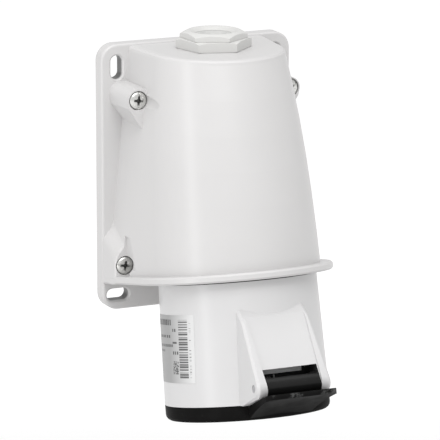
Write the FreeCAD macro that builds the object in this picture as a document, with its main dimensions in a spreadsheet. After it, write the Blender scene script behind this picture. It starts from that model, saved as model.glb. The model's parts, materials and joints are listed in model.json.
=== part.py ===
"""Surface wall socket for a five-pole industrial plug, 32 A size.

Frame of the part: the wall is the plane y = 0, the front looks along -Y, X is to the right and Z is up.
The origin lies on the wall, in the middle of the four fixing slots.
The socket barrel leans forward. Its pieces are modelled in the barrel's own frame: origin at the centre of the
mouth, +Z up the barrel's axis, -Y towards the front.
"""
import FreeCAD, Part
import math
import os
import re
import Sketcher

from FreeCAD import Placement, Rotation, Vector

os.makedirs("parts", exist_ok=True)
doc = FreeCAD.newDocument("wall_socket")

# Driving dimensions, in millimetres and degrees
SIZES = {
    # mounting plate
    "plate_width": 103.4,
    "top_margin": 11.7,
    "bottom_margin": 7.7,
    "plate_depth": 7.5,
    "plate_corner": 8.5,
    "plate_edge": 1.2,
    "plate_floor": 2.5,
    "tray_inset": 5.2,
    "slot_margin": 8.4,
    "slot_rise": 58.3,
    "slot_width": 6.4,
    "slot_length": 12.2,
    "slot_lip": 0.7,
    "core_depth": 4.6,
    "core_rib": 2.0,
    "seal_width": 1.2,
    "seal_depth": 1.2,
    "seal_step_top": 15.0,
    "seal_step_low": 9.0,
    # hood
    "hood_top": 69.0,
    "hood_wall": 2.6,
    "hood_taper": 12.2,
    "top_rounding": 2.3,
    "top_forward": 32.0,
    "waist_height": 12.0,
    "waist_margin": 11.3,
    "waist_forward": 44.7,
    "foot_margin": 8.1,
    "foot_side_margin": 2.7,
    "foot_back": 4.0,
    "hood_edge": 2.4,
    "flange_margin": 2.0,
    "flange_side_margin": 0.3,
    "flange_thickness": 3.8,
    "flange_edge": 0.9,
    # cover screws and their towers
    "upper_screw_margin": 10.4,
    "upper_screw_z": 45.4,
    "upper_seat": 28.2,
    "lower_screw_margin": 6.4,
    "lower_screw_z": 39.9,
    "lower_seat": 19.5,
    "tower_radius": 5.5,
    "tower_foot_radius": 6.2,
    "tower_tail": 31.5,
    "seat_radius": 4.9,
    "seat_depth": 2.0,
    "driver_lean": 24.0,
    "driver_rise": 13.0,
    "wedge_lean": 4.0,
    "screw_head_radius": 4.45,
    "screw_head_height": 2.6,
    "screw_radius": 2.0,
    "screw_hole_radius": 2.4,
    "insert_radius": 2.8,
    "insert_length": 5.6,
    # socket barrel
    "barrel_tilt": 11.5,
    "axis_forward": 57.6,
    "flange_drop": 41.8,
    "barrel_length": 60.8,
    "mouth_radius": 41.0,
    "barrel_taper": 1.55,
    "barrel_wall": 4.8,
    "shelf_height": 46.0,
    "shelf_thickness": 4.0,
    "spigot_step": 2.2,
    "spigot_wall": 3.2,
    "spigot_height": 6.0,
    "keyway_width": 8.0,
    "keyway_depth": 1.8,
    "seal_thickness": 0.8,
    # thumb ramp, cheeks and hinge
    "hinge_offset": 12.5,
    "hinge_height": 9.0,
    "pin_radius": 1.95,
    "pin_clearance": 0.08,
    "cheek_round": 5.46,
    "cheek_half_width": 19.6,
    "cheek_top_half_width": 17.8,
    "cheek_edge": 1.2,
    "ramp_top": 46.5,
    "crest_height": 43.5,
    "crest_slope": 1.05,
    "ramp_half_width": 14.4,
    "ramp_top_half_width": 16.4,
    "ramp_recess": 1.0,
    "ramp_wall": 2.6,
    "window_height": 17.7,
    "hollow_height": 32.0,
    "hollow_offset": 3.0,
    "roll_radius": 5.0,
    "roll_wall": 1.1,
    "roll_end_wall": 3.4,
    "moving_gap": 0.3,
    "spring_wire": 0.5,
    "spring_leg": 5.0,
    "roll_open_from": 68.0,
    "roll_open_to": 192.0,
    # lid
    "lid_height": 7.8,
    "lid_wall": 2.4,
    "lid_edge": 3.0,
    "lever_offset": 27.5,
    "lever_rise": 6.3,
    "lever_half_width": 18.8,
    "lever_root_half_width": 16.4,
    "lever_thickness": 2.5,
    "lid_seal_width": 2.2,
    "lid_seal_height": 2.6,
    # contacts and their carrier
    "plug_gap": 5.2,
    "core_front": 9.0,
    "core_back": 58.0,
    "carrier_disc": 3.0,
    "contact_circle": 20.0,
    "earth_clock": 210.0,
    "phase_bore": 3.05,
    "phase_radius": 4.5,
    "earth_bore": 4.05,
    "earth_radius": 5.7,
    "phase_terminal": 5.3,
    "earth_terminal": 6.4,
    "terminal_length": 12.0,
    "wire_bore": 2.6,
    "contact_shoulder": 0.7,
    "contact_nose": 0.8,
    "front_wall": 3.0,
    "retainer_thickness": 2.5,
    "small_screw_radius": 1.75,
    "small_head_radius": 2.3,
    "small_head_height": 2.0,
    "terminal_screw_radius": 2.0,
    # cable gland
    "gland_forward": 28.9,
    "thread_radius": 12.35,
    "collar_flats": 33.0,
    "collar_height": 4.2,
    "collar_turn": 7.0,
    "cap_flats": 27.0,
    "cap_height": 4.5,
    "cap_turn": 17.0,
    "cap_top_radius": 12.8,
    "cap_bore": 8.7,
    "gland_bore": 9.6,
    "neck_radius": 11.6,
    "shank_length": 12.5,
    "seal_bore": 6.5,
    "locknut_flats": 30.0,
    "locknut_height": 4.5,
}

# Dimensions that follow from the driving ones
FOLLOWING = {
    "slot_spacing": "(plate_width - 2 * slot_margin)",
    "plate_top": "(slot_rise + top_margin)",
    "plate_bottom": "(slot_rise + bottom_margin)",
    "foot_half_width": "(plate_width / 2 - foot_side_margin)",
    "top_half_width": "(foot_half_width - hood_taper)",
    "top_radius": "(top_half_width - top_rounding)",
    "waist_radius": "(plate_width / 2 - waist_margin)",
    "foot_radius": "(plate_width / 2 - foot_margin)",
    "flange_radius": "(plate_width / 2 - flange_margin)",
    "flange_half_width": "(plate_width / 2 - flange_side_margin)",
    "upper_screw_x": "(plate_width / 2 - upper_screw_margin)",
    "lower_screw_x": "(plate_width / 2 - lower_screw_margin)",
    "barrel_top_radius": "(mouth_radius - barrel_taper)",
    "bore_radius": "(mouth_radius - barrel_wall)",
    "spigot_radius": "(bore_radius - spigot_step)",
    "spigot_bore": "(spigot_radius - spigot_wall)",
    "core_radius": "(bore_radius - plug_gap)",
    "carrier_screw_circle": "((core_radius + bore_radius) / 2)",
    "housing_screw_circle": "(spigot_radius + small_head_radius + 0.3)",
    "hinge_forward": "(mouth_radius + hinge_offset)",
    "hollow_back": "(mouth_radius + hollow_offset)",
    "lever_reach": "(mouth_radius + lever_offset)",
}

sheet = doc.addObject("Spreadsheet::Sheet", "Sizes")
for row, (alias, value) in enumerate(SIZES.items(), start=1):
    sheet.set(f"A{row}", str(value))
    sheet.setAlias(f"A{row}", alias)
doc.recompute()


class Dimensions:
    """Reads a dimension by its name: a driving one from the sheet, or one that follows from them."""

    def __getattr__(self, alias):
        return worked_out(alias) if alias in FOLLOWING else float(sheet.get(alias))


d = Dimensions()
X_AXIS, Y_AXIS, Z_AXIS = Vector(1, 0, 0), Vector(0, 1, 0), Vector(0, 0, 1)
FIT = 0.1
parts = {}


# Sketches and bodies bound to the sheet

def bound(expression):
    """The expression with each dimension written out as references to the sheet."""
    def written_out(match):
        name = match.group()
        if name in FOLLOWING:
            return bound(FOLLOWING[name])
        return "Sizes." + name if name in SIZES else name
    return re.sub(r"(?<![.\w])[a-z]+_[a-z_]+", written_out, expression)


def worked_out(expression):
    return float(sheet.evalExpression(bound(expression)))


def new_body(name):
    body = doc.addObject("PartDesign::Body", name)
    body.Label = name
    parts[name] = body
    return body


def new_sketch(body, name, plane, height=None):
    """Empty sketch on one of the body's own origin planes, raised by an expression."""
    sketch = body.newObject("Sketcher::SketchObject", name)
    origin_plane = [f for f in body.Origin.OriginFeatures if f.Role == plane][0]
    sketch.AttachmentSupport = [(origin_plane, "")]
    sketch.MapMode = "FlatFace"
    if height:
        sketch.setExpression("AttachmentOffset.Base.z", bound(height))
    return sketch


def fix_point(sketch, geometry, end, corner):
    for kind, expression in zip(("DistanceX", "DistanceY"), corner):
        value = worked_out(expression)
        index = sketch.addConstraint(Sketcher.Constraint(kind, -1, 1, geometry, end, value))
        sketch.setExpression(f"Constraints[{index}]", bound(expression))


def add_outline(sketch, corners):
    """Closed outline of straight edges; each corner is a pair of expressions."""
    points = [Vector(worked_out(x), worked_out(y), 0) for x, y in corners]
    first = sketch.GeometryCount
    count = len(points)
    for i in range(count):
        sketch.addGeometry(Part.LineSegment(points[i], points[(i + 1) % count]), False)
    for i in range(count):
        following = first + (i + 1) % count
        sketch.addConstraint(Sketcher.Constraint("Coincident", first + i, 2, following, 1))
    for i, corner in enumerate(corners):
        fix_point(sketch, first + i, 1, corner)


def add_circle(sketch, radius, x="0", y="0"):
    centre = Vector(worked_out(x), worked_out(y), 0)
    index = sketch.addGeometry(Part.Circle(centre, Z_AXIS, worked_out(radius)), False)
    fix_point(sketch, index, 3, (x, y))
    sized = sketch.addConstraint(Sketcher.Constraint("Radius", index, worked_out(radius)))
    sketch.setExpression(f"Constraints[{sized}]", bound(radius))


def add_hexagon(sketch, flats, turn="0"):
    """Regular hexagon of a given width across flats, turned about its centre by an angle in degrees."""
    corner = f"({flats}) / 2 / cos(30deg)"
    angles = [f"(({turn}) + {60 * i}) * 1deg" for i in range(6)]
    add_outline(sketch, [(f"{corner} * cos({a})", f"{corner} * sin({a})") for a in angles])


def add_slot(sketch, x, y, upright):
    """Slot with round ends about a centre given by two expressions."""
    half, reach = "slot_width / 2", "(slot_length - slot_width) / 2"
    across, along = (half, reach) if upright else (reach, half)
    signs = ((-1, -1), (1, -1), (1, 1), (-1, 1))
    corners = [(f"{x} + {i} * ({across})", f"{y} + {j} * ({along})") for i, j in signs]
    points = [Vector(worked_out(a), worked_out(b), 0) for a, b in corners]
    radius = worked_out(half)
    first = sketch.GeometryCount
    rounded = (0, 2) if upright else (1, 3)
    for i in range(4):
        start, end = points[i], points[(i + 1) % 4]
        if i in rounded:
            middle = (start + end) * 0.5
            outward = (middle - sum(points, Vector()) * 0.25).normalize()
            arc = Part.Arc(start, middle + outward * radius, end)
            sketch.addGeometry(arc, False)
        else:
            sketch.addGeometry(Part.LineSegment(start, end), False)
    for i in range(4):
        following = first + (i + 1) % 4
        this_end = 2 if i not in rounded else arc_end(sketch, first + i, points[(i + 1) % 4])
        next_end = 1 if (i + 1) % 4 not in rounded else arc_end(sketch, following, points[(i + 1) % 4])
        sketch.addConstraint(Sketcher.Constraint("Coincident", first + i, this_end, following, next_end))
    for i in range(4):
        if i not in rounded:
            fix_point(sketch, first + i, 1, corners[i])
            fix_point(sketch, first + i, 2, corners[(i + 1) % 4])
        else:
            kind = "DistanceY" if upright else "DistanceX"
            middle = corners[i][1 if upright else 0]
            centred = sketch.addConstraint(Sketcher.Constraint(kind, -1, 1, first + i, 3, worked_out(middle)))
            sketch.setExpression(f"Constraints[{centred}]", bound(middle))


def arc_end(sketch, index, point):
    """Number of the arc's end that lies at a point: 1 for its start and 2 for its end."""
    return 1 if sketch.getPoint(index, 1).distanceToPoint(point) < 1e-6 else 2


def pad(body, sketch, length, backwards=False):
    feature = body.newObject("PartDesign::Pad", sketch.Name + "_pad")
    feature.Profile = sketch
    feature.setExpression("Length", bound(length))
    feature.Reversed = backwards
    doc.recompute()
    return feature


def pocket(body, sketch, length, backwards=False):
    """Cut that is checked to have taken something away."""
    before = body.Shape.Volume
    feature = body.newObject("PartDesign::Pocket", sketch.Name + "_cut")
    feature.Profile = sketch
    feature.setExpression("Length", bound(length))
    feature.Reversed = backwards
    doc.recompute()
    if not body.Shape.Volume < before - 1e-3:
        raise RuntimeError(f"{feature.Name} cuts nothing")
    return feature


def turned(body, corners, name="profile"):
    """Solid of revolution about the body's own Z axis; corners are pairs of radius and height."""
    sketch = new_sketch(body, f"{body.Name}_{name}", "XZ_Plane")
    add_outline(sketch, corners)
    feature = body.newObject("PartDesign::Revolution", f"{body.Name}_{name}_turn")
    feature.Profile = sketch
    feature.ReferenceAxis = (sketch, ["V_Axis"])
    feature.Angle = 360
    doc.recompute()
    return feature


def fillet(body, chosen, radius):
    """Rounds the edges of the body's tip for which chosen(edge) is true."""
    base = body.Tip
    names = [f"Edge{i + 1}" for i, edge in enumerate(base.Shape.Edges) if chosen(edge)]
    feature = body.newObject("PartDesign::Fillet", f"{body.Name}_round_{len(body.Group)}")
    feature.Base = (base, names)
    feature.setExpression("Radius", bound(radius))
    doc.recompute()
    return feature


def chamfer(body, chosen, size):
    base = body.Tip
    names = [f"Edge{i + 1}" for i, edge in enumerate(base.Shape.Edges) if chosen(edge)]
    feature = body.newObject("PartDesign::Chamfer", f"{body.Name}_bevel_{len(body.Group)}")
    feature.Base = (base, names)
    feature.setExpression("Size", bound(size))
    doc.recompute()
    return feature


def keep_shape(name, shape, placement=Placement()):
    """A sub-part whose form is worked out below from the sheet's values."""
    feature = doc.addObject("Part::Feature", name)
    feature.Label = name
    feature.Shape = shape.removeSplitter() if shape.ShapeType == "Solid" else shape
    feature.Placement = placement
    parts[name] = feature
    return feature


def one_solid(shape):
    """The single solid of a boolean's result."""
    solids = shape.Solids
    if len(solids) != 1:
        raise RuntimeError(f"{len(solids)} solids where one is needed")
    return solids[0]


# Frames

def barrel_frame():
    """Placement of the barrel's frame: the axis meets the flange's lower face and the mouth lies below it."""
    lean = Rotation(X_AXIS, -d.barrel_tilt)
    crossing = Vector(0, -d.axis_forward, -d.flange_drop)
    return Placement(crossing - lean.multVec(Z_AXIS) * d.barrel_length, lean)


BARREL = barrel_frame()


def in_barrel(x, y, z):
    return BARREL.multiply(Placement(Vector(x, y, z), Rotation()))


def clock_point(radius, clock_degrees):
    """Point of a circle in the barrel's frame, seen from the mouth: 0 degrees at the front, then clockwise."""
    a = math.radians(clock_degrees)
    return Vector(radius * math.sin(a), -radius * math.cos(a), 0)


# Profiles shared by the hood, its seal and the base

def plate_half_width(z, inset=0.0):
    """Half the hood's width where it stands on the plate, at a height z."""
    foot_z = -d.flange_drop - (d.axis_forward - d.plate_depth) * math.tan(math.radians(d.barrel_tilt))
    share = (d.hood_top - z) / (d.hood_top - foot_z)
    return d.top_half_width + share * (d.foot_half_width - d.top_half_width) - inset


def foot_height_at_plate(above_flange=0.0):
    """Height of the flange's lower face, or of a plane above it, where it meets the plate's front."""
    tilt = math.radians(d.barrel_tilt)
    return -d.flange_drop - (d.axis_forward - d.plate_depth) * math.tan(tilt) + above_flange / math.cos(tilt)


def arch_points(half_width, plate_y, back_y, radius, centre_y, height=0.0):
    """Right half of an arch in a plane of one height: end of the flank, its touching point and the front's middle.

    half_width is measured at plate_y, and the flank goes on in line to back_y.
    """
    foot = Vector(half_width, plate_y, height)
    centre = Vector(0, centre_y, height)
    reach = foot - centre
    angle = math.atan2(reach.y, reach.x) - math.acos(radius / reach.Length)
    touch = centre + Vector(math.cos(angle), math.sin(angle), 0) * radius
    along = (foot - touch).normalize()
    back = foot + along * ((back_y - foot.y) / along.y)
    return [back, touch, centre - Y_AXIS * radius]


def arch_wire(points):
    """Closed wire of an arch: two flanks, the round front and the line along the wall."""
    back, touch, front = points
    flipped = lambda p: Vector(-p.x, p.y, p.z)
    return Part.Wire([
        Part.LineSegment(back, touch).toShape(),
        Part.Arc(touch, front, flipped(touch)).toShape(),
        Part.LineSegment(flipped(touch), flipped(back)).toShape(),
        Part.LineSegment(flipped(back), back).toShape(),
    ])


def barrel_y(y, height):
    """Where the plane of a given y meets the barrel's frame at a given height in it."""
    tilt = math.radians(d.barrel_tilt)
    return (y - BARREL.Base.y - height * math.sin(tilt)) / math.cos(tilt)


def top_arch(inset, height):
    return arch_points(d.top_half_width - inset, -d.plate_depth, 0, d.top_radius - inset, -d.top_forward, height)


def hood_form(inset, top, foot, bands, edge=0.0):
    """Solid form of the hood, drawn in by an inset, from a height top down to a foot height in the barrel's frame.

    Its arches run through those of the top, the waist and the foot on a parabola, in a number of bands. The top
    edge is rounded by a radius edge.
    """
    upper = top_arch(inset, top - edge)
    waist = arch_points(plate_half_width(d.waist_height, inset), -d.plate_depth, 0,
                        d.waist_radius - inset, -d.waist_forward, d.waist_height)
    lower = arch_points(d.foot_half_width - inset, barrel_y(-d.plate_depth, foot), barrel_y(0, foot),
                        d.foot_radius - inset, d.foot_back)
    lower = [in_barrel(0, 0, foot).multVec(p) for p in lower]
    middle = (upper[2].z - waist[2].z) / (upper[2].z - lower[2].z)

    wires = []
    steps = 3 if edge else 0
    for step in range(steps):
        turn = math.radians(90 * step / steps)
        inward, down = edge * (1 - math.sin(turn)), edge * (1 - math.cos(turn))
        wires.append(arch_wire(top_arch(inset + inward, top - down)))
    for band in range(bands + 1):
        share = band / bands if bands > 2 else (0, middle, 1)[band]
        weights = ((share - middle) * (share - 1) / middle, share * (share - 1) / (middle * (middle - 1)),
                   share * (share - middle) / (1 - middle))
        points = [a * weights[0] + b * weights[1] + c * weights[2] for a, b, c in zip(upper, waist, lower)]
        wires.append(arch_wire(points))
    return one_solid(Part.makeLoft(wires, True, True))


def slab(y_low, y_high):
    """Wide block between two planes parallel to the wall."""
    reach = 300
    return Part.makeBox(reach, y_high - y_low, reach, Vector(-reach / 2, y_low, -reach / 2))


def prism(points, direction):
    """Solid swept straight from a closed polygon."""
    wire = Part.makePolygon(list(points) + [points[0]])
    return Part.Face(wire).extrude(direction)


def mirrored_in_x(shape):
    return shape.mirror(Vector(0, 0, 0), X_AXIS)


def screw_places():
    """Axis points of the four cover screws on the plane y = 0, upper pair first."""
    upper = [Vector(side * d.upper_screw_x, 0, d.upper_screw_z) for side in (-1, 1)]
    lower = [Vector(side * d.lower_screw_x, 0, -d.lower_screw_z) for side in (-1, 1)]
    return upper, lower


# Wall side

def seat_ring(inset):
    """Corners of the hood's seat on the plate, drawn in by an inset, as expressions.

    The ring follows the hood's rim and steps inwards round the lower cover screws.
    """
    foot = f"({foot_edge_expression()})"
    rise = f"(hood_top - ({inset}))"
    fall = f"({foot} + ({inset}))"
    slope = f"((foot_half_width - top_half_width) / (hood_top - {foot}))"
    upper = f"(top_half_width + ({inset}) * {slope} - ({inset}))"
    step_top = "(seal_step_top - lower_screw_z)"
    step_low = "(seal_step_low - lower_screw_z)"
    side = f"(top_half_width + (hood_top - {step_top}) * {slope} - ({inset}))"
    inner = f"(lower_screw_x - insert_radius - 0.4 - ({inset}))"
    right = [(upper, rise), (side, step_top), (inner, step_low), (inner, fall)]
    left = [(f"0 - {x}", z) for x, z in reversed(right)]
    return right + left


def rear_base():
    """Mounting plate: a shallow tray with four fixing slots, cored out from the wall side."""
    body = new_body("rear_base")
    outline = new_sketch(body, "plate_outline", "XZ_Plane")
    half = "plate_width / 2"
    add_outline(outline, [(f"0 - {half}", "0 - plate_bottom"), (half, "0 - plate_bottom"),
                          (half, "plate_top"), (f"0 - {half}", "plate_top")])
    pad(body, outline, "plate_depth")
    fillet(body, lambda e: abs(e.tangentAt(e.FirstParameter).y) > 0.99, "plate_corner")
    front = -d.plate_depth
    fillet(body, lambda e: abs(e.BoundBox.YMin - front) < 1e-6 and e.BoundBox.YLength < 1e-6, "plate_edge")

    tray = new_sketch(body, "tray_outline", "XZ_Plane", "plate_depth")
    add_outline(tray, seat_ring("tray_inset"))
    pocket(body, tray, "plate_depth - plate_floor")

    groove = new_sketch(body, "seal_groove", "XZ_Plane", "plate_depth")
    add_outline(groove, seat_ring("(hood_wall - seal_width) / 2 + 0.1"))
    add_outline(groove, seat_ring("(hood_wall + seal_width) / 2 + 0.3"))
    pocket(body, groove, "seal_depth")

    slots = new_sketch(body, "fixing_slots", "XZ_Plane")
    x, z = "slot_spacing / 2", "slot_rise"
    for side in ("0 - ", ""):
        add_slot(slots, side + x, z, True)
        add_slot(slots, side + x, "0 - " + z, False)
    pocket(body, slots, "plate_depth", True)
    rounded_slot = lambda e: on_slot_rim(e, front)
    chamfer(body, rounded_slot, "slot_lip")

    holes = new_sketch(body, "insert_holes", "XZ_Plane", "plate_depth")
    for side in ("0 - ", ""):
        add_circle(holes, "insert_radius", side + "upper_screw_x", "upper_screw_z")
        add_circle(holes, "insert_radius", side + "lower_screw_x", "0 - lower_screw_z")
    pocket(body, holes, "insert_length")

    back = new_sketch(body, "back_cores", "XZ_Plane")
    bays = 4
    low, high = "0 - plate_bottom + core_rib + 0.6", foot_edge_expression() + " - core_rib"
    pitch = f"(slot_spacing - slot_length - 2 * core_rib) / {bays}"
    for i in range(bays):
        left = f"({pitch}) * ({i} - {bays / 2}) + core_rib / 2"
        right = f"({pitch}) * ({i + 1} - {bays / 2}) - core_rib / 2"
        add_outline(back, [(left, low), (right, low), (right, high), (left, high)])
    pocket(body, back, "core_depth", True)
    return body


def foot_edge_expression():
    return "0 - flange_drop - (axis_forward - plate_depth) * tan(barrel_tilt * 1deg)"


def on_slot_rim(edge, front):
    """True for an edge of a fixing slot in the plate's front face."""
    box = edge.BoundBox
    if box.YLength > 1e-6 or abs(box.YMin - front) > 1e-6:
        return False
    near_x = abs(abs(box.Center.x) - d.slot_spacing / 2) <= d.slot_length / 2
    near_z = abs(abs(box.Center.z) - d.slot_rise) <= d.slot_length / 2
    return near_x and near_z and box.DiagonalLength <= d.slot_length


def base_gasket():
    """Seal between the hood's rim and the plate, seated in the plate's groove."""
    body = new_body("base_gasket")
    outline = new_sketch(body, "gasket_outline", "XZ_Plane", "plate_depth - seal_depth")
    add_outline(outline, seat_ring("(hood_wall - seal_width) / 2 + 0.2"))
    add_outline(outline, seat_ring("(hood_wall + seal_width) / 2 + 0.2"))
    pad(body, outline, "seal_depth")
    return body


def ring_of_copies(name, shape, placements):
    """Identical fasteners kept as one node of separate solids."""
    copies = []
    for placement in placements:
        copy = shape.copy()
        copy.Placement = placement.multiply(shape.Placement)
        copies.append(copy)
    return keep_shape(name, Part.makeCompound(copies))


def cover_inserts():
    """Threaded brass inserts for the cover screws, seated in the plate."""
    sleeve = Part.makeCylinder(d.insert_radius, d.insert_length)
    sleeve = one_solid(sleeve.cut(Part.makeCylinder(d.screw_radius, d.insert_length)))
    forward = Rotation(X_AXIS, 90)
    upper, lower = screw_places()
    depth = d.plate_depth - d.insert_length
    places = [Placement(p - Y_AXIS * depth, forward) for p in upper + lower]
    return ring_of_copies("cover_inserts", sleeve, places)


def pan_screw(head_radius, head_height, shank_radius, length):
    """Pan-head screw along +Z from its tip at z = 0 to the seat at z = length, with a combined slot and cross."""
    top = length + head_height
    outline = [(0, 0), (shank_radius * 0.7, 0), (shank_radius, shank_radius * 0.3), (shank_radius, length),
               (head_radius, length), (head_radius, length + head_height * 0.5),
               (head_radius * 0.87, length + head_height * 0.84), (head_radius * 0.6, top), (0, top)]
    corners = [Vector(r, 0, z) for r, z in outline]
    screw = Part.Face(Part.makePolygon(corners + [corners[0]])).revolve(Vector(0, 0, 0), Z_AXIS, 360)
    slot_width, slot_depth = head_radius * 0.22, head_height * 0.45
    slot = Part.makeBox(2.2 * head_radius, slot_width, slot_depth,
                        Vector(-1.1 * head_radius, -slot_width / 2, top - slot_depth))
    arm = head_radius * 1.1
    cross = Part.makeBox(slot_width * 1.5, arm, head_height * 0.62,
                         Vector(-slot_width * 0.75, -arm / 2, top - head_height * 0.62))
    return one_solid(screw.cut(slot).cut(cross))


def small_screw(length):
    """Slotted screw of the inner fixings, along +Z from its tip at z = 0 to the seat at z = length."""
    top = length + d.small_head_height
    outline = [(0, 0), (d.small_screw_radius, 0), (d.small_screw_radius, length), (d.small_head_radius, length),
               (d.small_head_radius * 0.8, top), (0, top)]
    corners = [Vector(r, 0, z) for r, z in outline]
    screw = Part.Face(Part.makePolygon(corners + [corners[0]])).revolve(Vector(0, 0, 0), Z_AXIS, 360)
    slot = Part.makeBox(2.2 * d.small_head_radius, 0.6, 1.0, Vector(-1.1 * d.small_head_radius, -0.3, top - 0.8))
    return one_solid(screw.cut(slot))


def cover_screws(name, places, seat, turn):
    """Screws that hold the hood to the plate."""
    tip = d.plate_depth - d.insert_length + 0.3
    screw = pan_screw(d.screw_head_radius, d.screw_head_height, d.screw_radius, seat - tip)
    placements = []
    for place in places:
        facing = Rotation(X_AXIS, 90).multiply(Rotation(Z_AXIS, turn))
        placements.append(Placement(place - Y_AXIS * tip, facing))
    return ring_of_copies(name, screw, placements)


# Hood

def tower_outline(y, r):
    """Outline of the left upper tower in a plane parallel to the wall: round about the screw, with a tail below."""
    x, z = -d.upper_screw_x, d.upper_screw_z
    inner = -plate_half_width(z) + 3 * d.hood_wall
    low = Vector(x - r * 0.96, y, z - r * 0.28)
    knee = Vector(x - r * 0.86, y, z - r * 0.75)
    tail = Vector(x + 1.4, y, d.tower_tail)
    side = Vector(x - r * math.cos(math.radians(35)), y, z + r * math.sin(math.radians(35)))
    crown = Vector(x, y, z + r)
    corner, foot = Vector(inner, y, z + r), Vector(inner, y, d.tower_tail)
    return Part.Wire([
        Part.LineSegment(corner, crown).toShape(),
        Part.Arc(crown, side, low).toShape(),
        Part.LineSegment(low, knee).toShape(),
        Part.LineSegment(knee, tail).toShape(),
        Part.LineSegment(tail, foot).toShape(),
        Part.LineSegment(foot, corner).toShape(),
    ])


def upper_tower():
    """Left upper screw tower, drafted towards its seat."""
    front = -(d.upper_seat + d.seat_depth)
    outlines = [tower_outline(-d.plate_depth, d.tower_foot_radius), tower_outline(front, d.tower_radius)]
    return one_solid(Part.makeLoft(outlines, True, True))


def ogee(start, end):
    """Two tangent arcs that leave one point and reach another straight down, in a plane parallel to the wall."""
    across, fall = start.x - end.x, start.z - end.z
    radius = (across ** 2 + fall ** 2) / (4 * across)
    half_turn = math.acos(1 - across / (2 * radius)) / 2
    middle = (start + end) * 0.5
    swing = Vector(math.cos(half_turn), 0, -math.sin(half_turn)) * radius
    first = start - X_AXIS * radius + swing
    second = end + X_AXIS * radius - swing
    return [Part.Arc(start, first, middle).toShape(), Part.Arc(middle, second, end).toShape()]


def boss_outline(y, top, side, floor):
    """Outline of the left lower boss, which swells out from the hood's flank to its side.

    The corners top and side are pairs of x and z.
    """
    inner = -d.foot_radius + d.hood_wall
    start, end = Vector(top[0], y, top[1]), Vector(side[0], y, side[1])
    corner, low, root = Vector(inner, y, top[1]), Vector(side[0], y, floor), Vector(inner, y, floor)
    edges = [Part.LineSegment(corner, start).toShape()] + ogee(start, end)
    edges += [Part.LineSegment(end, low).toShape(), Part.LineSegment(low, root).toShape(),
              Part.LineSegment(root, corner).toShape()]
    return Part.Wire(edges)


def lower_boss():
    """Left lower screw boss: as wide as the flange at the plate, with a tip above the screw and a bevelled rim."""
    front = -(d.lower_seat + d.seat_depth)
    floor = foot_height_at_plate(d.flange_thickness / 2)
    x, z = -d.lower_screw_x, -d.lower_screw_z
    outlines = [
        boss_outline(-d.plate_depth, (x - 0.7, z + 20.5), (-d.flange_half_width, z + 8.6), floor),
        boss_outline(front + 0.8, (x + 0.8, z + 15.8), (x - 5.4, z + 1.4), floor),
        boss_outline(front, (x + 1.0, z + 14.8), (x - 4.7, z + 0.6), floor),
    ]
    return one_solid(Part.makeLoft(outlines, True, True))


def boss_core():
    """Solid root of the right lower boss, over the seal where it steps inwards."""
    inner = d.lower_screw_x - d.insert_radius - 0.4 - d.hood_wall - 0.5
    step_top, step_low = d.seal_step_top - d.lower_screw_z, d.seal_step_low - d.lower_screw_z
    low = foot_height_at_plate() - d.flange_thickness
    side = plate_half_width(step_top) - d.hood_wall - 0.5
    outer = d.plate_width / 2
    outline = [(inner, low), (inner, step_low), (side, step_top), (outer, step_top), (outer, low)]
    back = [Vector(x, -d.plate_depth, z) for x, z in outline]
    return prism(back, Y_AXIS * (d.plate_depth - d.lower_seat))


def driver_channel(wall=0.0):
    """Way in for the screwdriver at the left lower screw, grown by a wall.

    A round seat, a channel from it that leans outwards and upwards, and a wedge above that leans less.
    """
    x, z, r = -d.lower_screw_x, -d.lower_screw_z, d.seat_radius + wall
    step = -(d.lower_seat + d.seat_depth)
    depth = d.seat_depth + (d.lower_seat - d.plate_depth if wall else 0)
    seat = Part.makeCylinder(r, depth, Vector(x, step + depth, z), Vector(0, -1, 0))
    length = d.waist_forward
    out, beside = (Vector(-math.sin(lean), -math.cos(lean), 0) * length
                   for lean in (math.radians(d.driver_lean), math.radians(d.wedge_lean)))
    rising = out + Z_AXIS * (length * math.tan(math.radians(d.driver_rise)))
    mouth = Part.Face(Part.Wire(Part.Circle(Vector(x, step, z), Y_AXIS, r).toShape())).extrude(rising)
    foot, side = z - 7.1 - wall, x - 2 * r
    base = [Vector(x + 2.6 + wall, step, z), Vector(x + 2.6 + wall, step, foot), Vector(side, step, foot),
            Vector(side, step, z)]
    top = z + 15.2 + wall
    wedge = [Vector(x + 0.9 + wall, step, top), Vector(x + 0.9 + wall, step, z), Vector(side, step, z),
             Vector(side, step, top)]
    return seat.fuse([mouth, prism(base, out), prism(wedge, beside)])


def upper_seat_cut():
    """Recess of the left upper screw, with a flat lower lip."""
    x, z, r = -d.upper_screw_x, d.upper_screw_z, d.seat_radius
    recess = Part.makeCylinder(r, 20, Vector(x, -d.upper_seat, z), Vector(0, -1, 0))
    above_lip = Part.makeBox(4 * r, 40, 4 * r, Vector(x - 2 * r, -d.upper_seat - 30, z - r * 0.93))
    return recess.common(above_lip)


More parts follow.
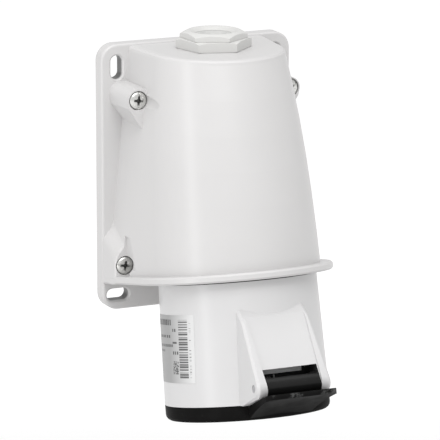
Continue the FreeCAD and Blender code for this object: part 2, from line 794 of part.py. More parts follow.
def hood():
    """Front cover: an arched shell on the plate, with screw towers and the flange over the barrel."""
    foot = d.barrel_length
    outer = hood_form(0, d.hood_top, foot, 6, d.hood_edge)
    rim = arch_wire(arch_points(d.flange_half_width, barrel_y(-d.plate_depth, foot), barrel_y(0, foot),
                                d.flange_radius, d.foot_back))
    flange = Part.Face(rim).extrude(Z_AXIS * d.flange_thickness)
    corner = [e for e in flange.Edges if e.BoundBox.ZLength < 1e-6 and e.BoundBox.YMin < barrel_y(-1, foot) - 1]
    flange = flange.makeChamfer(d.flange_edge, corner)
    flange.Placement = in_barrel(0, 0, foot)

    towers = [upper_tower(), lower_boss()]
    towers += [mirrored_in_x(t) for t in towers]
    recesses = [driver_channel(), upper_seat_cut()]
    recesses += [mirrored_in_x(r) for r in recesses]
    reach = 2 * d.plate_width
    below = Part.makeBox(reach, reach, reach, Vector(-reach / 2, -reach / 2, foot - reach))
    below.Placement = BARREL
    body = outer.fuse(towers).cut(recesses).fuse(flange)
    body = body.cut([slab(-d.plate_depth, 50), below])

    cavity = hood_form(d.hood_wall, d.hood_top - d.hood_wall, foot + d.flange_thickness, 2)
    pocket_walls = driver_channel(d.hood_wall * 0.8)
    core = boss_core()
    body = body.cut(cavity.cut([pocket_walls, mirrored_in_x(pocket_walls), core, mirrored_in_x(core)]))

    cuts = []
    upper, lower = screw_places()
    for places, seat in ((upper, d.upper_seat), (lower, d.lower_seat)):
        cuts += [Part.makeCylinder(d.screw_hole_radius, seat + 0.5, place, Vector(0, -1, 0)) for place in places]
    gland_hole = Part.makeCylinder(d.thread_radius + 0.2, 10, Vector(0, -d.gland_forward, d.hood_top - 5))
    spigot_hole = Part.makeCylinder(d.spigot_radius + 0.3, 2 * d.flange_thickness)
    spigot_hole.Placement = in_barrel(0, 0, foot - d.flange_thickness / 2)
    cuts += [gland_hole, spigot_hole]
    for clock in housing_screw_clocks():
        hole = Part.makeCylinder(d.small_screw_radius + FIT, 3 * d.flange_thickness)
        place = clock_point(d.housing_screw_circle, clock)
        hole.Placement = in_barrel(place.x, place.y, foot - d.flange_thickness)
        cuts.append(hole)
    body = body.cut(cuts)
    return keep_shape("hood", one_solid(body))


def housing_screw_clocks():
    """Clock angles of the screws that hold the barrel under the hood; none at the front."""
    return (90, 150, 210, 270)


# Socket barrel

def barrel_radius(height):
    share = height / d.barrel_length
    return d.mouth_radius + (d.barrel_top_radius - d.mouth_radius) * share


def socket_shell():
    """Turned form of the barrel: mouth, bore, shelf for the carrier and the spigot that enters the hood."""
    top = d.barrel_length - d.seal_thickness
    spigot_top = d.barrel_length + d.flange_thickness + d.spigot_height
    points = [(d.bore_radius, 0), (d.mouth_radius, 0), (barrel_radius(top), top), (d.spigot_radius, top),
              (d.spigot_radius, spigot_top), (d.spigot_bore, spigot_top), (d.spigot_bore, d.shelf_height),
              (d.bore_radius, d.shelf_height)]
    profile = [Vector(r, 0, z) for r, z in points]
    face = Part.Face(Part.makePolygon(profile + [profile[0]]))
    return face.revolve(Vector(0, 0, 0), Z_AXIS, 360)


def ramp_line():
    """Foot and head of the thumb ramp in the barrel's y-z plane, tangent to the round end of the cheeks."""
    head = Vector(0, -barrel_radius(d.ramp_top), d.ramp_top)
    hinge = Vector(0, -d.hinge_forward, d.hinge_height)
    reach = head - hinge
    span = reach.Length
    to_head = math.atan2(reach.z, -reach.y)
    touch_angle = to_head - math.acos(d.cheek_round / span)
    touch = hinge + Vector(0, -math.cos(touch_angle), math.sin(touch_angle)) * d.cheek_round
    return touch, head, touch_angle


def cheek_half_at(height):
    """Half the width over the cheeks at a height in the barrel: they draw together upwards."""
    share = (height - d.hinge_height) / (d.ramp_top - d.hinge_height)
    return d.cheek_half_width + share * (d.cheek_top_half_width - d.cheek_half_width)


def nose_outline(side, bevel):
    """Outline of the barrel's nose on a cheek's outer face (side -1 or 1), or just inside its bevel.

    The ramp ends at a crest, where the block falls away steeply into the barrel's wall.
    """
    touch, head, touch_angle = ramp_line()
    along = (head - touch).normalize()
    fall = Vector(0, d.crest_slope, 1).normalize()
    on_ramp = head + Vector(0, along.z, -along.y) * bevel
    on_fall = Vector(0, -barrel_radius(d.crest_height), d.crest_height) + Vector(0, fall.z, -fall.y) * bevel
    gap = on_fall - on_ramp
    crest = on_ramp + along * (gap.cross(fall).x / along.cross(fall).x)
    sunk = on_fall + fall * ((-d.bore_radius + 1.5 - on_fall.y) / fall.y)
    hinge = hinge_point(0)
    on_round = lambda angle: hinge + Vector(0, -math.cos(angle), math.sin(angle)) * (d.cheek_round - bevel)
    inner, root = -d.bore_radius + 2.0, -d.mouth_radius + 1.0
    points = [sunk, crest, on_round(touch_angle), on_round((touch_angle - math.pi / 2) / 2), on_round(-math.pi / 2),
              Vector(0, root, 0), Vector(0, inner, 0), Vector(0, inner, sunk.z)]
    drawn_in = d.cheek_edge - bevel
    sunk, crest, touch, nose, under, foot, low, high = (
        Vector(side * (cheek_half_at(p.z) - drawn_in), p.y, p.z) for p in points)
    lines = [(under, foot), (foot, low), (low, high), (high, sunk), (sunk, crest), (crest, touch)]
    edges = [Part.Arc(touch, nose, under).toShape()]
    return Part.Wire(edges + [Part.LineSegment(a, b).toShape() for a, b in lines])


def cheek_block():
    """Nose of the barrel: ramp and cheeks as one bevelled block before the recesses are cut."""
    bevel = d.cheek_edge
    outlines = [nose_outline(-1, bevel), nose_outline(-1, 0), nose_outline(1, 0), nose_outline(1, bevel)]
    return one_solid(Part.makeLoft(outlines, True, True).cut(ramp_recess()))


def ramp_recess():
    """Shallow recess of the thumb ramp between the cheeks."""
    touch, head, _ = ramp_line()
    along = (head - touch).normalize()
    inward = Vector(0, along.z, -along.y)
    depth = inward * d.ramp_recess
    low, high = touch - along * 8, head + along * 12
    out = inward * -12
    w0, w1 = d.ramp_half_width, d.ramp_top_half_width
    corners = [low - X_AXIS * w0, low + X_AXIS * w0, high + X_AXIS * w1, high - X_AXIS * w1]
    return prism([c + depth for c in corners], out)


def hinge_notch():
    """Window in which the lid's hinge roll turns, and the hollow behind the ramp's wall."""
    half = d.ramp_half_width
    touch, head, _ = ramp_line()
    along = (head - touch).normalize()
    inward = Vector(0, along.z, -along.y)
    window = Part.makeBox(2 * half, 40, d.window_height + 5, Vector(-half, -d.hollow_back - 40, -5))
    wall = inward * (d.ramp_wall + d.ramp_recess)
    at_window = touch + along * ((d.window_height - touch.z) / along.z) + wall
    side = [Vector(-half, -d.hollow_back, 0), Vector(-half, at_window.y, 0),
            Vector(-half, at_window.y, d.window_height)]
    climb = (d.hollow_height - d.window_height) / along.z
    upper = at_window + along * climb
    upper_y = min(upper.y, -d.hollow_back - 0.5)
    side += [Vector(-half, upper_y, d.hollow_height), Vector(-half, -d.hollow_back, d.hollow_height)]
    return window.fuse(prism(side, X_AXIS * 2 * half))


def keyway():
    """Groove for the plug's key at the wall side of the bore."""
    depth = d.bore_radius + d.keyway_depth
    block = Part.makeBox(d.keyway_width, 20, d.shelf_height - 2, Vector(-d.keyway_width / 2, depth - 20, 0))
    return block


def socket_housing():
    """Barrel of the socket with its thumb ramp, hinge cheeks and keyway."""
    shell = socket_shell().fuse(cheek_block())
    bore = Part.makeCylinder(d.bore_radius, d.shelf_height)
    cuts = [bore, hinge_notch(), keyway()]
    half = d.cheek_half_width
    cuts.append(Part.makeCylinder(d.pin_radius, 2 * half + 2, hinge_point(-half - 1), X_AXIS))
    for clock in carrier_screw_clocks():
        cuts.append(Part.makeCylinder(d.small_screw_radius, d.shelf_thickness + 4,
                                      clock_point(d.carrier_screw_circle, clock) + Z_AXIS * d.shelf_height))
    for clock in housing_screw_clocks():
        cuts.append(Part.makeCylinder(d.small_screw_radius, 11, clock_point(d.housing_screw_circle, clock)
                                      + Z_AXIS * (d.barrel_length - 11)))
    return keep_shape("socket_housing", one_solid(shell.cut(cuts)), BARREL)


def carrier_screw_clocks():
    return (45, 165, 285)


def hinge_point(x):
    return Vector(x, -d.hinge_forward, d.hinge_height)


def housing_gasket():
    """Flat seal between the barrel and the hood's flange, with holes for the housing screws."""
    body = new_body("housing_gasket")
    turned(body, [("spigot_radius + 0.3", "0"), ("barrel_top_radius - 0.6", "0"),
                  ("barrel_top_radius - 0.6", "seal_thickness"), ("spigot_radius + 0.3", "seal_thickness")])
    hole = new_sketch(body, "gasket_holes", "XY_Plane")
    for clock in housing_screw_clocks():
        add_circle(hole, "small_screw_radius + 0.1", f"housing_screw_circle * sin({clock}deg)",
                   f"0 - housing_screw_circle * cos({clock}deg)")
    pocket(body, hole, "seal_thickness", True)
    body.Placement = in_barrel(0, 0, d.barrel_length - d.seal_thickness)
    return body


def housing_screws():
    """Screws driven from inside the hood into the barrel's collar."""
    length = d.flange_thickness + 9
    screw = small_screw(length)
    seat = d.barrel_length + d.flange_thickness
    places = []
    for clock in housing_screw_clocks():
        place = clock_point(d.housing_screw_circle, clock)
        places.append(in_barrel(place.x, place.y, seat - length))
    return ring_of_copies("housing_screws", screw, places)


# Hinge

def hinge_pin():
    """Steel pin through both cheeks and the lid's roll."""
    body = new_body("hinge_pin")
    half = "(cheek_half_width - 0.2)"
    turned(body, [("0", f"0 - {half}"), ("pin_radius - 0.3", f"0 - {half}"), ("pin_radius", f"0.3 - {half}"),
                  ("pin_radius", f"{half} - 0.3"), ("pin_radius - 0.3", half), ("0", half)])
    across = Placement(hinge_point(0), Rotation(Y_AXIS, 90))
    body.Placement = BARREL.multiply(across)
    return body


def hinge_spring():
    """Torsion spring round the pin, inside the lid's roll, with one leg that rests on the barrel.

    The wire is six-sided and each turn of the coil has ten straight lengths.
    """
    wire, turns, steps = d.spring_wire, 6, 10
    coil_radius = d.pin_radius + wire + 0.25
    pitch = 3 * wire
    corner = Vector(d.hinge_offset - d.hollow_offset - wire - d.moving_gap, 0, 0)
    path = [corner + Y_AXIS * d.spring_leg, corner]
    for step in range(turns * steps + 1):
        turn = Rotation(Z_AXIS, 360 * step / steps)
        path.append(turn.multVec(X_AXIS * coil_radius) + Z_AXIS * (pitch * step / steps))
    corners = [path[0] + Rotation(Y_AXIS, 60 * i).multVec(X_AXIS * wire) for i in range(7)]
    spring = Part.makePolygon(path).makePipeShell([Part.makePolygon(corners)], True, True, 1)
    spring.translate(Vector(0, 0, -turns * pitch / 2))
    spring.rotate(Vector(0, 0, 0), Z_AXIS, 90)
    spring.rotate(Vector(0, 0, 0), Y_AXIS, 90)
    placed = BARREL.multiply(Placement(hinge_point(0), Rotation()))
    return keep_shape("hinge_spring", one_solid(spring), placed)


# Lid

def lid_dish():
    """Turned form of the lid: floor, rounded skirt and the ledge that carries its seal."""
    low, rim = -d.lid_height, -d.moving_gap
    outer, inner = d.mouth_radius, d.mouth_radius - d.lid_wall
    ledge = d.bore_radius - 0.6
    floor = low + d.lid_wall
    ledge_top = rim - d.lid_seal_height + 0.2
    edge, steps = d.lid_edge, 4
    points = [(outer, rim), (inner, rim), (inner, ledge_top), (ledge, ledge_top), (ledge, floor), (0, floor), (0, low)]
    for step in range(steps + 1):
        turn = math.radians(90 * step / steps)
        points.append((outer - edge * (1 - math.sin(turn)), low + edge * (1 - math.cos(turn))))
    corners = [Vector(r, 0, z) for r, z in points]
    return Part.Face(Part.makePolygon(corners + [corners[0]])).revolve(Vector(0, 0, 0), Z_AXIS, 360)


def lever():
    """Thumb lever: a visor that flares forward and up from the lid's skirt, under the cheeks."""
    reach, rise, thick = d.lever_reach, d.lever_rise, d.lever_thickness
    clear = d.hinge_height - d.cheek_round - d.moving_gap - 0.3
    root = d.mouth_radius - d.lid_wall
    top_root = Vector(0, -root, -d.moving_gap)
    top_knee = Vector(0, -d.mouth_radius - 0.6, -d.moving_gap)
    top_mid = Vector(0, -d.hinge_forward, clear)
    tip_top = Vector(0, -reach + 0.8, rise)
    tip = Vector(0, -reach, rise - thick / 2)
    tip_low = Vector(0, -reach + 0.8, rise - thick)
    under_mid = Vector(0, -(reach + d.mouth_radius) / 2 + 1.0, (rise - thick - d.lid_height) / 2 + 1.6)
    under_root = Vector(0, -d.mouth_radius + 1.2, -d.lid_height + 1.6)
    inside = Vector(0, -root, -d.lid_height + 1.6)
    edges = [
        Part.LineSegment(top_root, top_knee).toShape(),
        Part.LineSegment(top_knee, top_mid).toShape(),
        Part.LineSegment(top_mid, tip_top).toShape(),
        Part.Arc(tip_top, tip, tip_low).toShape(),
        Part.Arc(tip_low, under_mid, under_root).toShape(),
        Part.LineSegment(under_root, inside).toShape(),
        Part.LineSegment(inside, top_root).toShape(),
    ]
    side = Part.Face(Part.Wire(edges))
    half, root_half = d.lever_half_width, d.lever_root_half_width
    side.translate(Vector(-half, 0, 0))
    block = side.extrude(X_AXIS * 2 * half)
    plan = [Vector(-root_half, -root + 4, -20), Vector(root_half, -root + 4, -20), Vector(root_half, -root, -20),
            Vector(half, -reach + 3, -20), Vector(half - 2.2, -reach - 1, -20), Vector(2.2 - half, -reach - 1, -20),
            Vector(-half, -reach + 3, -20), Vector(-root_half, -root, -20)]
    return one_solid(block.common(prism(plan, Z_AXIS * 40)))


def hinge_roll():
    """Roll of the lid's hinge: closed at both ends, hollow between them for the spring and open at its back."""
    half = d.ramp_half_width - d.moving_gap
    roll = Part.makeCylinder(d.roll_radius, 2 * half, hinge_point(-half), X_AXIS)
    web = Part.makeBox(2 * half, 6.0, d.hinge_height, Vector(-half, -d.hinge_forward - 3.0, 0.8))
    inner_half = half - d.roll_end_wall
    hollow_radius = d.roll_radius - d.roll_wall
    hollow = Part.makeCylinder(hollow_radius, 2 * inner_half, hinge_point(-inner_half), X_AXIS)
    reach = 2 * d.roll_radius
    corners = [hinge_point(-inner_half)]
    for share in range(5):
        angle = math.radians(d.roll_open_from + share / 4 * (d.roll_open_to - d.roll_open_from))
        corners.append(corners[0] + Vector(0, -math.cos(angle), math.sin(angle)) * reach)
    return one_solid(roll.fuse(web).cut([hollow, prism(corners, X_AXIS * 2 * inner_half)]))


def retaining_nose():
    """Hook inside the lid that holds a plug by its lug."""
    low = -d.lid_height + d.lid_wall
    y = -d.bore_radius + 4
    side = [Vector(-5, y, low - 0.5), Vector(-5, y + 6, low - 0.5), Vector(-5, y + 3.5, low + 3.0),
            Vector(-5, y + 1.0, low + 3.0)]
    return prism(side, X_AXIS * 10)


def lid():
    """Spring lid with its lever, hinge roll and retaining nose."""
    body = lid_dish().fuse([lever(), hinge_roll(), retaining_nose()])
    half = d.cheek_half_width + 1
    pin = Part.makeCylinder(d.pin_radius + d.pin_clearance, 2 * half, hinge_point(-half), X_AXIS)
    return keep_shape("lid", one_solid(body.cut(pin)), BARREL)


def lid_gasket():
    """Soft ring in the lid that closes on the barrel's mouth."""
    body = new_body("lid_gasket")
    outer = "(mouth_radius - lid_wall - 0.05)"
    inner = f"({outer} - lid_seal_width)"
    top = "(0 - moving_gap)"
    low = "(0 - moving_gap - lid_seal_height + 0.2)"
    turned(body, [(inner, low), (outer, low), (outer, f"{top} - 0.5"), (f"{outer} - 0.5", top),
                  (f"{inner} + 0.5", top), (inner, f"{top} - 0.5")])
    body.Placement = BARREL
    return body


# Contacts

CONTACTS = {"contact_earth": 0, "contact_line_1": 1, "contact_line_2": 2, "contact_line_3": 3,
            "contact_neutral": 4}


def contact_clock(step):
    return d.earth_clock + 72 * step


def contact_carrier():
    """Insulating insert: a core in the bore, a disc on the barrel's shelf and five contact chambers."""
    body = new_body("contact_carrier")
    disc = "(shelf_height - carrier_disc)"
    turned(body, [("0", "core_front"), ("core_radius - 1", "core_front"), ("core_radius", "core_front + 1"),
                  ("core_radius", disc), ("bore_radius - 0.15", disc), ("bore_radius - 0.15", "shelf_height"),
                  ("spigot_bore - 0.15", "shelf_height"), ("spigot_bore - 0.15", "core_back"), ("0", "core_back")])
    for name, clock, radius, bore, terminal in chamber_sizes():
        x = f"contact_circle * sin({clock})"
        y = f"0 - contact_circle * cos({clock})"
        for part, height, size, depth in (
                ("mouth", "core_front", f"{bore} + contact_nose + 0.2", "front_wall"),
                ("chamber", "core_front + front_wall", f"{radius} + 0.1", "shelf_height - core_front - front_wall"),
                ("terminal", "shelf_height", f"{terminal} + 0.1", "core_back - shelf_height")):
            sketch = new_sketch(body, f"{name}_{part}", "XY_Plane", height)
            add_circle(sketch, size, x, y)
            pocket(body, sketch, depth, True)
    fixing = new_sketch(body, "carrier_screw_holes", "XY_Plane", disc)
    for clock in carrier_screw_clocks():
        add_circle(fixing, "small_screw_radius + 0.1", f"carrier_screw_circle * sin({clock}deg)",
                   f"0 - carrier_screw_circle * cos({clock}deg)")
    pocket(body, fixing, "carrier_disc", True)
    centre = new_sketch(body, "retainer_screw_hole", "XY_Plane", "core_back - 9")
    add_circle(centre, "small_screw_radius")
    pocket(body, centre, "9", True)
    body.Placement = BARREL
    return body


def contact_kind(name):
    return "earth" if name == "contact_earth" else "phase"


def chamber_sizes():
    """Name, clock angle, sleeve radius, pin bore and terminal radius of each contact, as expressions."""
    rows = []
    for name, step in CONTACTS.items():
        kind = contact_kind(name)
        clock = f"(earth_clock + {72 * step}) * 1deg"
        rows.append((name, clock, f"{kind}_radius", f"{kind}_bore", f"{kind}_terminal"))
    return rows


def contact(name, step):
    """Turned brass contact: a split sleeve for the plug's pin and a terminal for the wire behind it.

    Its nose sits in the mouth of the carrier's chamber.
    """
    body = new_body(name)
    kind = contact_kind(name)
    radius, bore, neck = f"{kind}_radius", f"{kind}_bore", f"{kind}_terminal"
    nose = "(core_front + 0.5)"
    front = "(core_front + front_wall + 0.2)"
    back = "(core_back + retainer_thickness + terminal_length)"
    blind = "(shelf_height - 6)"
    slim = f"({neck} - contact_shoulder)"
    turned(body, [(bore, nose), (f"{bore} + contact_nose", nose), (f"{bore} + contact_nose", front),
                  (radius, front), (radius, "shelf_height"), (neck, "shelf_height"), (neck, "core_back"),
                  (slim, "core_back"), (slim, back), ("wire_bore", back),
                  ("wire_bore", f"{back} - terminal_length + 1"), ("0", f"{back} - terminal_length + 1"),
                  ("0", blind), (bore, blind)])
    slit = new_sketch(body, name + "_slit", "XY_Plane", nose)
    add_outline(slit, [("0 - 0.5", f"0 - {radius} - 1"), ("0.5", f"0 - {radius} - 1"), ("0.5", f"{radius} + 1"),
                       ("0 - 0.5", f"{radius} + 1")])
    pocket(body, slit, "20", True)
    hole = new_sketch(body, name + "_screw_hole", "XZ_Plane")
    add_circle(hole, "terminal_screw_radius", "0", f"{back} - terminal_length / 2 + 1")
    pocket(body, hole, f"{neck} + 1", True)
    place = clock_point(d.contact_circle, contact_clock(step))
    outward = Rotation(Z_AXIS, contact_clock(step))
    body.Placement = BARREL.multiply(Placement(place, outward))
    return body


def terminal_screws():
    """One clamping screw in each terminal, driven from outside."""
    height = d.core_back + d.retainer_thickness + d.terminal_length / 2 + 1
    places = []
    length = 4.6
    for name, step in CONTACTS.items():
        wall = getattr(d, contact_kind(name) + "_terminal") - d.contact_shoulder
        clock = contact_clock(step)
        outward = Rotation(Z_AXIS, clock).multiply(Rotation(X_AXIS, 90))
        start = clock_point(d.contact_circle + wall - 1.8, clock) + Z_AXIS * height
        places.append(BARREL.multiply(Placement(start, outward)))
    shank = Part.makeCylinder(d.terminal_screw_radius, length)
    slot = Part.makeBox(6, 0.7, 0.9, Vector(-3, -0.35, length - 0.9))
    return ring_of_copies("terminal_screws", one_solid(shank.cut(slot)), places)


def contact_retainer():
    """Plate that closes the contact chambers at the carrier's back."""
    body = new_body("contact_retainer")
    disc = new_sketch(body, "retainer_disc", "XY_Plane", "core_back")
    add_circle(disc, "spigot_bore - 0.6")
    add_circle(disc, "small_screw_radius + 0.1")
    for name, clock, _, _, terminal in chamber_sizes():
        add_circle(disc, f"{terminal} - contact_shoulder + 0.1", f"contact_circle * sin({clock})",
                   f"0 - contact_circle * cos({clock})")
    pad(body, disc, "retainer_thickness")
    body.Placement = BARREL
    return body


def retainer_screw():
    length = d.retainer_thickness + 7
    screw = small_screw(length)
    seat = d.core_back + d.retainer_thickness
    return keep_shape("retainer_screw", screw, in_barrel(0, 0, seat - length))


def carrier_screws():
    """Screws in the well round the core that hold the carrier to the barrel's shelf."""
    length = d.carrier_disc + 6
    screw = small_screw(length)
    places = []
    for clock in carrier_screw_clocks():
        place = clock_point(d.carrier_screw_circle, clock)
        down = Placement(Vector(place.x, place.y, d.shelf_height - d.carrier_disc + length), Rotation(X_AXIS, 180))
        places.append(BARREL.multiply(down))
    return ring_of_copies("carrier_screws", screw, places)


# Cable gland

def gland_place():
    return Placement(Vector(0, -d.gland_forward, d.hood_top), Rotation())


def gland_body():
    """Threaded shank with its hexagon collar on the hood and a neck for the cap."""
    body = new_body("gland_body")
    collar = new_sketch(body, "collar_hexagon", "XY_Plane")
    add_hexagon(collar, "collar_flats", "collar_turn")
    pad(body, collar, "collar_height")
    turned(body, [("0", "0 - shank_length"), ("thread_radius", "0 - shank_length"), ("thread_radius", "0"),
                  ("neck_radius", "0.1"), ("neck_radius", "collar_height + cap_height - 1.9"),
                  ("0", "collar_height + cap_height - 1.9")], "shank")
    bore = new_sketch(body, "gland_bore_circle", "XY_Plane", "0 - shank_length")
    add_circle(bore, "gland_bore")
    pocket(body, bore, "shank_length + collar_height + cap_height", True)
    groove = new_sketch(body, "sealing_groove", "XY_Plane")
    add_circle(groove, "thread_radius + 2.6")
    add_circle(groove, "thread_radius + 0.6")
    pocket(body, groove, "1.2", True)
    body.Placement = gland_place()
    return body


def gland_ring():
    """Sealing ring in the groove under the collar."""
    body = new_body("gland_ring")
    turned(body, [("thread_radius + 0.7", "0"), ("thread_radius + 2.5", "0"), ("thread_radius + 2.5", "0.8"),
                  ("thread_radius + 2.1", "1.15"), ("thread_radius + 1.1", "1.15"), ("thread_radius + 0.7", "0.8")])
    body.Placement = gland_place()
    return body


def gland_seal():
    """Rubber sleeve that grips the cable in the gland's bore."""
    body = new_body("gland_seal")
    top = "(collar_height + cap_height - 1.9)"
    turned(body, [("seal_bore", "0 - 8"), ("gland_bore - 0.1", "0 - 8"), ("gland_bore - 0.1", top),
                  ("seal_bore + 1.6", top), ("seal_bore", f"{top} - 1.6")])
    body.Placement = gland_place()
    return body


def gland_cap():
    """Hexagon cap that is turned down on the seal; its top is dished towards the cable's way in."""
    body = new_body("gland_cap")
    low, top = "(collar_height + 0.3)", "(collar_height + cap_height)"
    hexagon = new_sketch(body, "cap_hexagon", "XY_Plane", low)
    add_hexagon(hexagon, "cap_flats", "cap_turn")
    pad(body, hexagon, f"{top} - {low}")
    bore = new_sketch(body, "cap_thread", "XY_Plane", low)
    add_circle(bore, "neck_radius + 0.3")
    pocket(body, bore, f"{top} - {low} - 1.6", True)
    opening = new_sketch(body, "cap_opening", "XY_Plane", low)
    add_circle(opening, "cap_bore")
    pocket(body, opening, "cap_height", True)
    dish = new_sketch(body, "cap_dish", "XZ_Plane")
    add_outline(dish, [("cap_bore - 1", f"{top} + 1"), ("cap_bore - 1", f"{top} - 0.9"), ("cap_bore", f"{top} - 0.9"),
                       ("cap_top_radius - 1.6", top), ("cap_top_radius - 1.6", f"{top} + 1")])
    groove_round(body, dish)
    crown = new_sketch(body, "cap_crown", "XZ_Plane")
    corner = "(cap_flats / 2 / cos(30deg) + 1)"
    add_outline(crown, [("cap_top_radius", f"{top} + 1"), ("cap_top_radius", top),
                        (corner, f"{top} - ({corner} - cap_top_radius) * 0.55"), (corner, f"{top} + 1")])
    groove_round(body, crown)
    body.Placement = gland_place()
    return body


def groove_round(body, sketch):
    """Cut turned about the body's own Z axis, checked to have taken something away."""
    before = body.Shape.Volume
    feature = body.newObject("PartDesign::Groove", sketch.Name + "_turn")
    feature.Profile = sketch
    feature.ReferenceAxis = (sketch, ["V_Axis"])
    feature.Angle = 360
    doc.recompute()
    if not body.Shape.Volume < before - 1e-3:
        raise RuntimeError(f"{feature.Name} cuts nothing")


def gland_locknut():
    """Nut that holds the gland's shank under the hood's top wall."""
    body = new_body("gland_locknut")
    top = "(0 - hood_wall)"
    hexagon = new_sketch(body, "locknut_hexagon", "XY_Plane", f"{top} - locknut_height")
    add_hexagon(hexagon, "locknut_flats", "collar_turn")
    add_circle(hexagon, "thread_radius + 0.05")
    pad(body, hexagon, "locknut_height")
    body.Placement = gland_place()
    return body


def build():
    rear_base()
    base_gasket()
    cover_inserts()
    hood()
    upper, lower = screw_places()
    cover_screws("upper_cover_screws", upper, d.upper_seat, 80)
    cover_screws("lower_cover_screws", lower, d.lower_seat, 20)
    socket_housing()
    housing_gasket()
    housing_screws()
    contact_carrier()
    for name, step in CONTACTS.items():
        contact(name, step)
    terminal_screws()
    contact_retainer()
    retainer_screw()
    carrier_screws()
    gland_body()
    gland_ring()
    gland_seal()
    gland_cap()
    gland_locknut()
    lid()
    lid_gasket()
    hinge_pin()
    hinge_spring()
    doc.recompute()


def check_and_write():
    """Stops on any failed object, then writes one file for each sub-part."""
    for item in doc.Objects:
        if "Invalid" in item.State or "Error" in item.State:
            raise RuntimeError(f"{item.Name} failed: {item.State}")
    for name, part in parts.items():
        shape = part.Shape
        if shape.isNull() or not shape.isValid() or not shape.Solids:
            raise RuntimeError(f"{name} has no valid solid")
        shape.exportStep(f"parts/{name}.step")
        box = shape.BoundBox
        print(f"{name:22s} {len(shape.Solids)} solids {shape.Volume:10.1f} mm3 "
              f"x {box.XMin:.1f} {box.XMax:.1f} y {box.YMin:.1f} {box.YMax:.1f} z {box.ZMin:.1f} {box.ZMax:.1f}")


build()
check_and_write()
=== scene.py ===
"""Scene of the industrial wall socket: finishes, screws, rating label, cable gland, light and camera."""
import json
import math

import bpy
from mathutils import Matrix, Vector


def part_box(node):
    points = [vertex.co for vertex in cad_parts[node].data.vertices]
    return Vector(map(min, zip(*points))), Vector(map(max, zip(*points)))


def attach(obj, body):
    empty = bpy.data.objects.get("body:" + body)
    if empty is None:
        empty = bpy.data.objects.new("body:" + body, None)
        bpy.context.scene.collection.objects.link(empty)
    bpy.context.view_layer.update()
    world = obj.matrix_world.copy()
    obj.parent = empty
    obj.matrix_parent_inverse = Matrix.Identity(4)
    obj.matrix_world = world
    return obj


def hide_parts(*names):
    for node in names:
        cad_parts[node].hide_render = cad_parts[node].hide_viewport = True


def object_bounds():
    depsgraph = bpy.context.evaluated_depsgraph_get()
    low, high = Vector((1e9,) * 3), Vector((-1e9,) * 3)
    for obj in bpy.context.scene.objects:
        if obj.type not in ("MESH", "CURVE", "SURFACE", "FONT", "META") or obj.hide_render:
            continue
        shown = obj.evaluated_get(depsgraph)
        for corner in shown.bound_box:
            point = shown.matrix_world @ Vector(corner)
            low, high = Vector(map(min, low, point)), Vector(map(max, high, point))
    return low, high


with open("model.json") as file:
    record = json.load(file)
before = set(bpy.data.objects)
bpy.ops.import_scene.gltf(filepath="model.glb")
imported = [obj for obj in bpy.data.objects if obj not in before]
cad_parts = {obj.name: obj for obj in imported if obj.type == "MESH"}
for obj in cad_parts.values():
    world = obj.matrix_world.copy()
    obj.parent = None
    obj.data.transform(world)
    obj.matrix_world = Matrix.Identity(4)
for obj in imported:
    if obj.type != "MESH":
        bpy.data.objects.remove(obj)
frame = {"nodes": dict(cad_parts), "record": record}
cad_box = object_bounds()

MM = 0.001

# Barrel, as in the part's source: where its axis meets the flange's lower face, lean, length and radii
FLANGE_POINT = Vector((0, -57.6 * MM, -41.8 * MM))
BARREL_LEAN = math.radians(11.5)
BARREL_LENGTH = 60.8 * MM
MOUTH_RADIUS = 41.0 * MM
TOP_RADIUS = 39.45 * MM
ACROSS = Vector((1, 0, 0))
BARREL_UP = Vector((0, math.sin(BARREL_LEAN), math.cos(BARREL_LEAN)))
BARREL_FRONT = Vector((0, -math.cos(BARREL_LEAN), math.sin(BARREL_LEAN)))
MOUTH = FLANGE_POINT - BARREL_UP * BARREL_LENGTH

# Skin that takes in the faces that lie on a mask's edge
SKIN = 0.05 * MM

# Hinge window in the barrel's nose, then the edges of the band of painted light, as shares of these
WINDOW_HALF_WIDTH = 14.4 * MM
WINDOW_HEIGHT = 17.7 * MM
LIT_BAND_RIGHT = 0.75
LIT_BAND_LOW = 0.82

# Fixing slots, from the middle of the four, and the depths where the painted shade on their walls starts
# and is full
SLOT_SIDE = 43.3 * MM
SLOT_RISE = 58.3 * MM
SLOT_HALF_WIDTH = 3.2 * MM
SLOT_HALF_LENGTH = 6.1 * MM
SLOT_DARK_FROM = -6.2 * MM
SLOT_DARK_TO = -5.0 * MM

# Lid, from the barrel's mouth: its hinge roll's axis and shine, then the lever's tip and where it is
# lightened by wear and a painted highlight
ROLL_OUT = 53.5 * MM
ROLL_HEIGHT = 9.0 * MM
ROLL_REACH = 5.4 * MM
ROLL_SHINE = 0.75
LEVER_TIP = 68.5 * MM
TIP_LIGHTENING_START = 0.9 * MM
TIP_LIGHTENING_FULL = 0.4 * MM


def on_barrel(clock, height, proud):
    """Point proud of the barrel's skin, by degrees from the front towards +X and height from the mouth."""
    radius = MOUTH_RADIUS + (TOP_RADIUS - MOUTH_RADIUS) * height / BARREL_LENGTH + proud
    angle = math.radians(clock)
    outward = ACROSS * math.sin(angle) + BARREL_FRONT * math.cos(angle)
    return MOUTH + BARREL_UP * height + outward * radius


# Shader writing

# Sockets of the Mix node for colours, which share their names with its sockets for numbers
MIX_FIRST = 6
MIX_SECOND = 7
MIX_RESULT = 2


